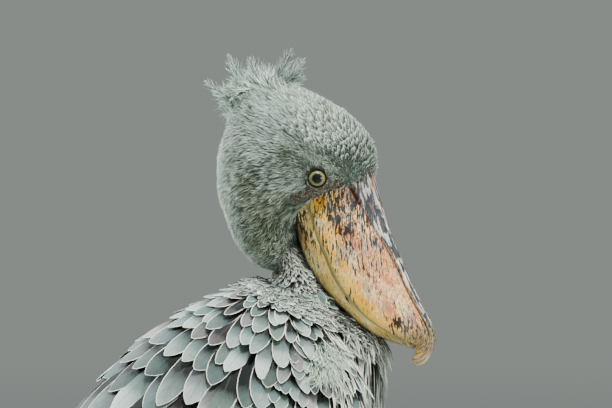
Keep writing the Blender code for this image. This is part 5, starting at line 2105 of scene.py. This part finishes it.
@dataclass
class WingCoat:
    """The folded wing's feathers: scapulars over the back, coverts, secondaries, tertials, primaries."""

    material: Material
    crown: float = 1.25
    tilt: float = 0.13
    loft: float = 1.6
    tone: float = -0.16
    warm: float = -0.16
    reads: int = 60

    def row(self, coat: Coat, form: Form, tract: Tract, share: float, odd: bool) -> None:
        """One row across the wing.

        Args:
            coat: Where it goes.
            form: The wing's surface.
            tract: The kind of feather.
            share: How far this row is between the tract's first and last.
            odd: Whether the row is set half a feather aside.
        """
        start, width, length = (v[0] + (v[1] - v[0]) * share for v in (tract.rows, tract.width, tract.length))
        step = (tract.rows[1] - tract.rows[0]) / max(tract.rows[2] - 1, 1)
        span = float(wing_span(start))
        fine = np.linspace(*tract.span, self.reads)
        places = form.at(np.full(self.reads, start), fine * span)
        arc = np.concatenate([[0], np.cumsum(np.linalg.norm(np.diff(places, axis=0), axis=1))])
        count = max(int(arc[-1] / (tract.spacing * width)), 3)
        steps = (np.arange(count) + (0.75 if odd else 0.25)) / count
        across = np.interp(np.clip(steps + coat.jitter(count, 0.14) / count, 0, 1) * arc[-1], arc, fine)
        every_other = 0.006 * share * (np.arange(count) % 2)
        u = np.maximum(start + coat.jitter(count, 0.14) * step + every_other, 0.002)
        lengths = coat.vary(length, count, 0.08)
        widths = coat.vary(width, count, 0.09) * (0.8 + 0.2 * ease(across, 0.0, 0.12))
        place = (across - tract.span[0]) / (tract.span[1] - tract.span[0])
        heading = tract.turn[0] + (tract.turn[1] - tract.turn[0]) * place + coat.jitter(count, 0.085)
        coat.cover(
            Roots(form, u, across * span), tract.cut, heading, lengths, widths, tract.sink,
            tract.lift * self.loft + coat.jitter(count, 0.001),
            roll=form.side * (self.tilt + coat.jitter(count, 0.07)), tone=self.tone + tract.tone,
            warm=self.warm + coat.jitter(count, 0.13), spread=tract.spread, curve=self.crown,
            bend=coat.jitter(count, 0.1),
        )

    def build(self) -> None:
        """Lays every tract of both wings."""
        for number, side in enumerate(Side):
            coat = Coat(f"wing_feathers_{side.word}", 9 + number)
            for tract in WING_TRACTS:
                rows = tract.rows[2]
                for k in range(rows):
                    share = (1 - k / max(rows - 1, 1)) ** tract.growth
                    self.row(coat, WINGS[side], tract, share, k % 2 == 1)
            coat.finish(self.material)


@dataclass(frozen=True)
class TailLayer:
    """One fan of tail feathers.

    fan holds how many they are and how far across they reach, size their length and width, back
    and level where they start behind and over the tail's root, and face is -1 on the underside.
    """

    cut: Cut
    fan: tuple[int, float]
    size: Pair
    back: float
    level: float
    face: float
    tone: float


TAIL_LAYERS = (
    TailLayer(QUILL, (12, 1.0), (0.165, 0.034), 0.035, 0.0006, 1.0, -0.1),
    TailLayer(COVERT, (8, 0.9), (0.085, 0.024), 0.022, 0.0075, 1.0, -0.02),
    TailLayer(COVERT, (8, 0.9), (0.07, 0.022), 0.006, 0.0125, 1.0, -0.02),
    TailLayer(COVERT, (8, 0.9), (0.095, 0.024), 0.02, 0.006, -1.0, 0.16),
    TailLayer(COVERT, (8, 0.9), (0.075, 0.022), 0.004, 0.0115, -1.0, 0.16),
)


@dataclass
class Tail:
    """Twelve broad tail feathers, the middle pair on top, and the coverts over their roots."""

    material: Material
    root: Triple = (-0.35, 0.0, 0.448)
    slope: float = math.radians(46.5)
    spread: float = math.radians(13.0)
    tilt: float = math.radians(-8.0)
    half_root: float = 0.021
    crown: float = 0.0048

    def build(self) -> None:
        """Lays every layer of the fan."""
        coat = Coat("tail_feathers", 11)
        way, across = np.array((-math.cos(self.slope), 0.0, -math.sin(self.slope))), np.array((0.0, 1.0, 0.0))
        for layer in TAIL_LAYERS:
            count, wide = layer.fan
            over = np.array((-math.sin(self.slope), 0.0, math.cos(self.slope))) * layer.face
            share = np.linspace(-wide, wide, count)
            angle = (self.spread * share)[:, None]
            heading = way * np.cos(angle) + across * np.sin(angle)
            crown = layer.level + self.crown * (1 - np.abs(share))
            start = np.array(self.root) + way * layer.back + across * (self.half_root * share)[:, None]
            start = start + over * crown[:, None]
            length = coat.vary(layer.size[0] * (1 - 0.05 * np.abs(share)), count, 0.02)
            tone, warm = MARKINGS_AND_PAINTED_LIGHT.at(start)
            root = np.stack([0.5 + 0.4 * share, np.full(count, 0.1 + 20 * layer.level)], -1)
            path, width = straight(start, heading, length, layer.cut, over), np.full(count, layer.size[1])
            roll = self.tilt * np.sign(share) * layer.face
            coat.add(layer.cut, path, length, width, root, tone + layer.tone, warm, roll=roll)
        coat.finish(self.material)


class GeometryTree(Tree):
    """A Geometry Nodes tree with named number inputs."""

    def __init__(self, name: str, inputs: dict[str, float]) -> None:
        """Makes the group, its inputs and its output.

        Args:
            name: The group's name.
            inputs: Named numbers and their defaults.
        """
        self.group = bpy.data.node_groups.new(name, "GeometryNodeTree")
        super().__init__(self.group)
        new = self.group.interface.new_socket
        new("Geometry", in_out="INPUT", socket_type="NodeSocketGeometry")
        self.keys: dict[str, str] = {}
        for word, value in inputs.items():
            kind = "NodeSocketInt" if isinstance(value, int) else "NodeSocketFloat"
            socket = new(word, in_out="INPUT", socket_type=kind)
            socket.default_value, self.keys[word] = value, socket.identifier
        new("Geometry", in_out="OUTPUT", socket_type="NodeSocketGeometry")
        self.start, self.end = self.nodes.new("NodeGroupInput"), self.nodes.new("NodeGroupOutput")

    def named(self, word: str) -> Value:
        """One of the group's inputs."""
        return Value(self, self.start.outputs[word])

    def close(self, geometry: Value, material: Material) -> None:
        """Realizes the instances, sets the material and ends the tree.

        Args:
            geometry: The instances.
            material: Their finish.
        """
        real = self.add("GeometryNodeRealizeInstances", {}, {0: geometry})
        done = self.add("GeometryNodeSetMaterial", {}, {"Geometry": real, "Material": material})
        self.links.new(done.socket, self.end.inputs[0])


@dataclass
class ScuteRow:
    """Overlapping plates along a curve, bent round what they lie on."""

    name: str
    material: Material
    thickness: float = 0.0006
    overlap: float = 1.22
    wrap: float = 1.15

    def tree(self) -> GeometryTree:
        """Builds the tree: a bent plate on each of Count points of the curve, sized by its radius.

        Returns:
            The tree.
        """
        numbers = {"Count": 20, "Length": 0.005, "Thickness": self.thickness, "Wrap": self.wrap, "Seed": SEED}
        tree = GeometryTree(self.name, numbers)
        grid = {"Size": (1.0, 1.0, 1.0), "Vertices X": 4, "Vertices Y": 6, "Vertices Z": 2}
        cube = tree.add("GeometryNodeMeshCube", {}, grid)
        x, y, z = tree.parts(tree.add("GeometryNodeInputPosition", {}, {}))
        length, wrap, thick = tree.named("Length"), tree.named("Wrap"), tree.named("Thickness")
        rim = (1.0 - (x * 2.0) ** 2.0 * 0.55) * (1.0 - (y * 2.0) ** 2.0 * 0.8)
        short = 1.0 - (y * 2.0) ** 2.0 * 0.22
        angle = y * wrap * 2.0
        height = 1.0 + (z + 0.5) * rim * thick * 150.0 - 0.02 + x * 0.1
        cosine, sine = angle.maths("COSINE"), angle.maths("SINE")
        bent = tree.vector(x * short, sine * height, cosine * height)
        plate = tree.add("GeometryNodeSetPosition", {}, {"Geometry": cube, "Position": bent})
        line = {"Curve": Value(tree, tree.start.outputs[0]), "Count": tree.named("Count")}
        points = tree.add("GeometryNodeResampleCurve", {}, line)
        tangent = tree.add("GeometryNodeInputTangent", {}, {})
        normal = tree.add("GeometryNodeInputNormal", {}, {})
        first = tree.add("FunctionNodeAlignRotationToVector", {"axis": "X"}, {"Vector": tangent})
        settings = {"axis": "Z", "pivot_axis": "X"}
        inputs = {"Rotation": first, "Vector": normal}
        turned = tree.add("FunctionNodeAlignRotationToVector", settings, inputs)
        radius = tree.add("GeometryNodeInputRadius", {}, {})
        inputs = {2: 0.92, 3: 1.08, "Seed": tree.named("Seed")}
        vary = tree.add("FunctionNodeRandomValue", {"data_type": "FLOAT"}, inputs, 1)
        size = tree.vector(length * vary, radius, radius)
        inputs = {"Points": points, "Instance": plate, "Rotation": turned, "Scale": size}
        tree.close(tree.add("GeometryNodeInstanceOnPoints", {}, inputs), self.material)
        return tree

    def lay(self, tree: GeometryTree, path: Array, radii: Array, count: int) -> Mesh:
        """Runs the tree on one curve.

        Args:
            tree: The tree.
            path: Points of the curve, in the bird's frame.
            radii: What the plates lie on, at each point.
            count: How many plates.

        Returns:
            The plates' mesh.
        """
        curve = bpy.data.curves.new("scute_line", "CURVE")
        curve.dimensions, curve.twist_mode = "3D", "Z_UP"
        spline = curve.splines.new("POLY")
        spline.points.add(len(path) - 1)
        for point, spot, radius in zip(spline.points, path + SHIFT, radii):
            point.co, point.radius = (*spot, 1.0), radius
        obj = placed("scute_line", curve)
        modifier = obj.modifiers.new("scutes", "NODES")
        modifier.node_group = tree.group
        reach = np.linalg.norm(np.diff(path, axis=0), axis=1).sum()
        modifier[tree.keys["Count"]] = count
        modifier[tree.keys["Length"]] = float(reach / count * self.overlap)
        return settled(obj)


@dataclass(frozen=True)
class Toe:
    """A toe: its angle from straight ahead, length, radius and joints."""

    name: str
    angle: float
    length: float
    radius: float
    joints: int
    bare: int = 5


@dataclass
class Leg:
    """A bare scaly leg with its foot, long toes and claws.

    A shank row holds x, z and the radius. A toe's bare is where its row of plates starts.
    """

    side: Side
    skin: Material
    horn: Material
    foot_x: float = -0.13
    foot_out: float = 0.004
    pad_size: Triple = (0.0165, 0.0155, 0.0145)
    pad_height: float = 0.0085
    toe_bend: float = 0.005
    scute: float = 0.0058
    voxel: float = 0.0016
    claw_length: float = 0.024
    claw_root: float = 0.86
    shank: Rows = (
        (-0.127, 0.395, 0.0125), (-0.134, 0.36, 0.0112), (-0.143, 0.315, 0.0103), (-0.152, 0.282, 0.0128),
        (-0.1545, 0.262, 0.015), (-0.151, 0.238, 0.0118), (-0.147, 0.2, 0.009), (-0.14, 0.13, 0.0084),
        (-0.134, 0.06, 0.0084), (-0.131, 0.017, 0.0086),
    )
    toes: tuple[Toe, ...] = (
        Toe("middle", 4.0, 0.15, 0.0084, 3), Toe("inner", -24.0, 0.118, 0.0078, 2),
        Toe("outer", 34.0, 0.124, 0.0078, 3), Toe("hind", 196.0, 0.074, 0.0074, 2, 9),
    )

    @property
    def foot(self) -> Array:
        """The foot's middle on the floor."""
        out = self.side.value * (POSE.leg_spread + self.foot_out)
        return np.array((self.foot_x + 0.5 * POSE.stride * self.side.value, out, 0.0))

    def tube(self, path: Array, radii: Array, sides: int, up: Triple = (0.0, 0.0, 1.0)) -> Array:
        """Round sections set square to a path.

        Args:
            path: Its points.
            radii: The radius at each.
            sides: Points in each section.
            up: A way that the path never runs along.

        Returns:
            The sections.
        """
        ways = unit(np.gradient(path, axis=0))
        across = unit(np.cross(np.array(up), ways))
        over = np.cross(ways, across)
        angles = (np.arange(sides) * 2 * np.pi / sides)[None, :, None]
        around = np.cos(angles) * across[:, None] + np.sin(angles) * over[:, None]
        return path[:, None] + radii[:, None, None] * around

    def shank_body(self) -> Body:
        """The leg from the thigh down to the foot.

        Returns:
            Its points and faces.
        """
        x, z, radii = smooth(self.shank, np.linspace(0, 1, 90)).T
        share, sign = np.clip((0.395 - z) / 0.38, 0, 1), self.side.value
        x = x + POSE.stride * sign * (0.25 + 0.25 * share)
        path = np.stack([x, sign * (POSE.leg_spread + self.foot_out * share), z], -1)
        return ring_body(self.tube(path, radii, 28, (1.0, 0.0, 0.0)))

    def toe_line(self, toe: Toe) -> tuple[Array, Array]:
        """One toe's middle line.

        Args:
            toe: Which toe.

        Returns:
            Points and radii.
        """
        sign = self.side.value
        turn = math.radians(toe.angle) * sign
        way = np.array((math.cos(turn), math.sin(turn), 0.0))
        spots = np.linspace(0, 1, 48)
        radii = toe.radius * (1.0 - 0.32 * spots) * (1.0 + 0.1 * np.cos(spots * 2 * math.pi * toe.joints))
        bend = self.toe_bend * np.sin(spots * math.pi) * sign * (1.0 if 0 < toe.angle < 90 else -1.0)
        aside = np.array((-way[1], way[0], 0.0))
        path = self.foot + way * (spots * toe.length)[:, None] + aside * bend[:, None]
        path[:, 2] = radii * 0.86 + 0.002 * (1 - spots) ** 2
        return path, radii

    def pad(self) -> Body:
        """The pad under the toes' roots.

        Returns:
            Its points and faces.
        """
        tilt = np.linspace(0.01, math.pi - 0.01, 24)[:, None]
        turn = (np.arange(32) * 2 * math.pi / 32)[None]
        level = np.sin(tilt)
        ball = np.stack([level * np.cos(turn), level * np.sin(turn), np.cos(tilt) + 0 * turn], -1)
        return ring_body(self.foot + (0.0, 0.0, self.pad_height) + ball * self.pad_size)

    def build(self) -> None:
        """Evens shank, pad and toes into one skin, and adds the plates and the claws."""
        word = self.side.word
        bodies, plates = [self.shank_body(), self.pad()], []
        row = ScuteRow(f"scutes_{word}", self.skin)
        tree = row.tree()
        for toe in self.toes:
            line, thick = self.toe_line(toe)
            bodies.append(ring_body(self.tube(line, thick, 22)))
            bare, count = slice(toe.bare, None), int(toe.length / self.scute)
            plates.append(row.lay(tree, line[bare], thick[bare] * 0.995, count))
            self.claw(toe, line, thick)
        mesh = evened(f"leg_{word}_skin", bodies, self.voxel, 4)
        with reworked(mesh) as work:
            for plate in plates:
                work.from_mesh(plate)
            for vertex in work.verts:
                vertex.co.z = max(vertex.co.z, 0.0)
        mesh.shade_smooth()
        nodes = [f"leg_{word}", f"foot_{word}"] + [f"toe_{word}_{toe.name}" for toe in self.toes]
        piece_of(f"leg_{word}_skin", mesh, self.skin, "leg", *nodes)

    def claw(self, toe: Toe, line: Array, thick: Array) -> None:
        """The claw on a toe's end, curved down to the floor.

        Args:
            toe: Which toe.
            line: Its middle line.
            thick: Its radii.
        """
        end, heading = line[-1], unit(line[-1] - line[-3])
        spots = np.linspace(0, 1, 28)
        curve = end + heading * ((spots - 0.1) * self.claw_length / 0.9)[:, None]
        curve[:, 2] = end[2] + 0.0022 * np.sin(spots * math.pi) - (end[2] - 0.001) * spots**2
        rings = self.tube(curve, self.claw_root * thick[-1] * (1 - spots**1.3) + 0.0004, 20)
        rings[..., 2] = np.maximum(rings[..., 2], -SHIFT[2])
        name = f"claw_{self.side.word}_{toe.name}"
        mesh = mesh_of(f"{name}_horn", *ring_body(rings))
        mesh.shade_smooth()
        piece_of(mesh.name, mesh, self.horn, "claw", name)


@dataclass(frozen=True)
class Lamp:
    """A soft square light: its place from the bird's head, side, watts and colour."""

    name: str
    spot: Triple
    size: float
    power: float
    colour: Triple


@dataclass
class Studio:
    """A plain pale floor, soft light and the photograph's camera."""

    distance: float = 6.0
    lens: float = 294.0
    elevation: float = math.radians(1.0)
    target: Triple = (0.0, 0.0, 0.9388)
    floor_size: float = 60.0
    fade: Pair = (3.0, 16.0)
    haze: Triple = (0.25, 0.275, 0.26)
    sky: Triple = (0.22, 0.24, 0.25)
    lamps: tuple[Lamp, ...] = (
        Lamp("key", (0.5, -1.1, 3.0), 0.7, 215.0, (1.0, 0.985, 0.95)),
        Lamp("front", (2.4, -2.2, 0.3), 1.0, 62.0, (1.0, 0.98, 0.94)),
        Lamp("back", (-2.4, 1.2, 1.6), 1.2, 190.0, (0.95, 0.98, 1.0)),
    )

    def floor(self) -> None:
        """The pale floor, far wider than the view, that pales into the haze far off."""
        mesh = bpy.data.meshes.new("floor")
        with reworked(mesh) as work:
            bmesh.ops.create_grid(work, x_segments=2, y_segments=2, size=self.floor_size)
        shader = Shader("pale_floor")
        x, y, _ = shader.parts(shader.place())
        far = ((x * x + y * y) ** 0.5).step(*self.fade)
        shader.set(Roughness=0.85, Specular_IOR_Level=0.0, Emission_Strength=1.0)
        shader.set(Emission_Color=shader.mix(far, (0.0, 0.0, 0.0), self.haze))
        shader.set(Base_Color=shader.mix(far, (0.6, 0.62, 0.6), (0.0, 0.0, 0.0)))
        mesh.materials.append(shader.material)
        floor = placed("floor", mesh)

    def world(self) -> None:
        """A soft sky over a band of haze as pale as the far floor."""
        world = bpy.data.worlds.new("studio")
        world.use_nodes = True
        tree = Tree(world.node_tree)
        up = tree.parts(tree.add("ShaderNodeTexCoord", {}, {}, "Generated"))[2]
        settings = {"stops": ((0.0, self.haze), (0.1, self.haze), (0.5, self.sky))}
        colour = tree.add("ShaderNodeValToRGB", settings, {0: up})
        for name, value in (("Color", colour), ("Strength", 1.0)):
            tree.put(tree.nodes["Background"].inputs[name], value)
        bpy.context.scene.world = world

    def aimed(self, name: str, data: bpy.types.ID, away: Triple) -> Object:
        """A lamp or camera that looks at the bird's head.

        Args:
            name: Its name.
            data: The lamp or camera.
            away: Its place from the head.

        Returns:
            Its object.
        """
        obj = placed(name, data)
        obj.location = Vector(np.array(self.target) + SHIFT) + Vector(away)
        obj.rotation_euler = Vector(away).to_track_quat("Z", "Y").to_euler()
        return obj

    def build(self) -> None:
        """Sets up floor, world, lights and camera."""
        self.floor()
        self.world()
        for lamp in self.lamps:
            data = bpy.data.lights.new(lamp.name, "AREA")
            data.shape, data.size, data.energy, data.color = "SQUARE", lamp.size, lamp.power, lamp.colour
            self.aimed(lamp.name, data, lamp.spot)
        data = bpy.data.cameras.new("camera")
        data.lens, data.sensor_width, data.clip_end = self.lens, 36.0, 200.0
        away = Vector((0.0, -math.cos(self.elevation), math.sin(self.elevation))) * self.distance
        bpy.context.scene.camera = self.aimed("camera", data, away)


def main() -> None:
    """Builds the bird from the skin out, then the studio."""
    logging.basicConfig(level=logging.INFO, format="%(name)s %(message)s")
    skin = SkinFinish().build()
    BodySkin().build(skin)
    bill = Bill()
    bill.upper(HornFinish().build())
    bill.lower(HornFinish(lower=True).build())
    eye = Eye(EyeFinish().build(), skin)
    for side in Side:
        eye.build(side)
    short = PlumageFinish("short_feathers", rim_strength=0.0, shaft=0.0, barb=0.18, tip=0.55).build()
    scaly = PlumageFinish(
        "scaly_feathers", rim_strength=0.7, rim_width=0.7, shaft=0.1, tip=0.45, base_dark_and_shade=0.2
    ).build()
    long = PlumageFinish(
        "breast_feathers", rim_strength=0.65, rim_width=0.9, shaft=0.55, barb=0.28, base_dark_and_shade=0.4
    ).build()
    vane = PlumageFinish(
        "wing_vanes", rim_width=1.3, rim_strength=1.0, shaft=0.3, barb=0.17, tip=0.4,
        base_dark_and_shade=0.6, base_end=0.8, ragged=1.3,
    ).build()
    HeadCoat(bill, short, scaly).build()
    NeckCoat(bill, long, scaly, short).build()
    BodyCoat(PlumageFinish("belly_down", rim_strength=0.35, shaft=0.15).build()).build()
    WingCoat(vane).build()
    Tail(vane).build()
    scales, horn = ScaleFinish().build(), ClawFinish().build()
    for side in Side:
        Leg(side, scales, horn).build()
    Studio().build()


if __name__ == "__main__":
    main()
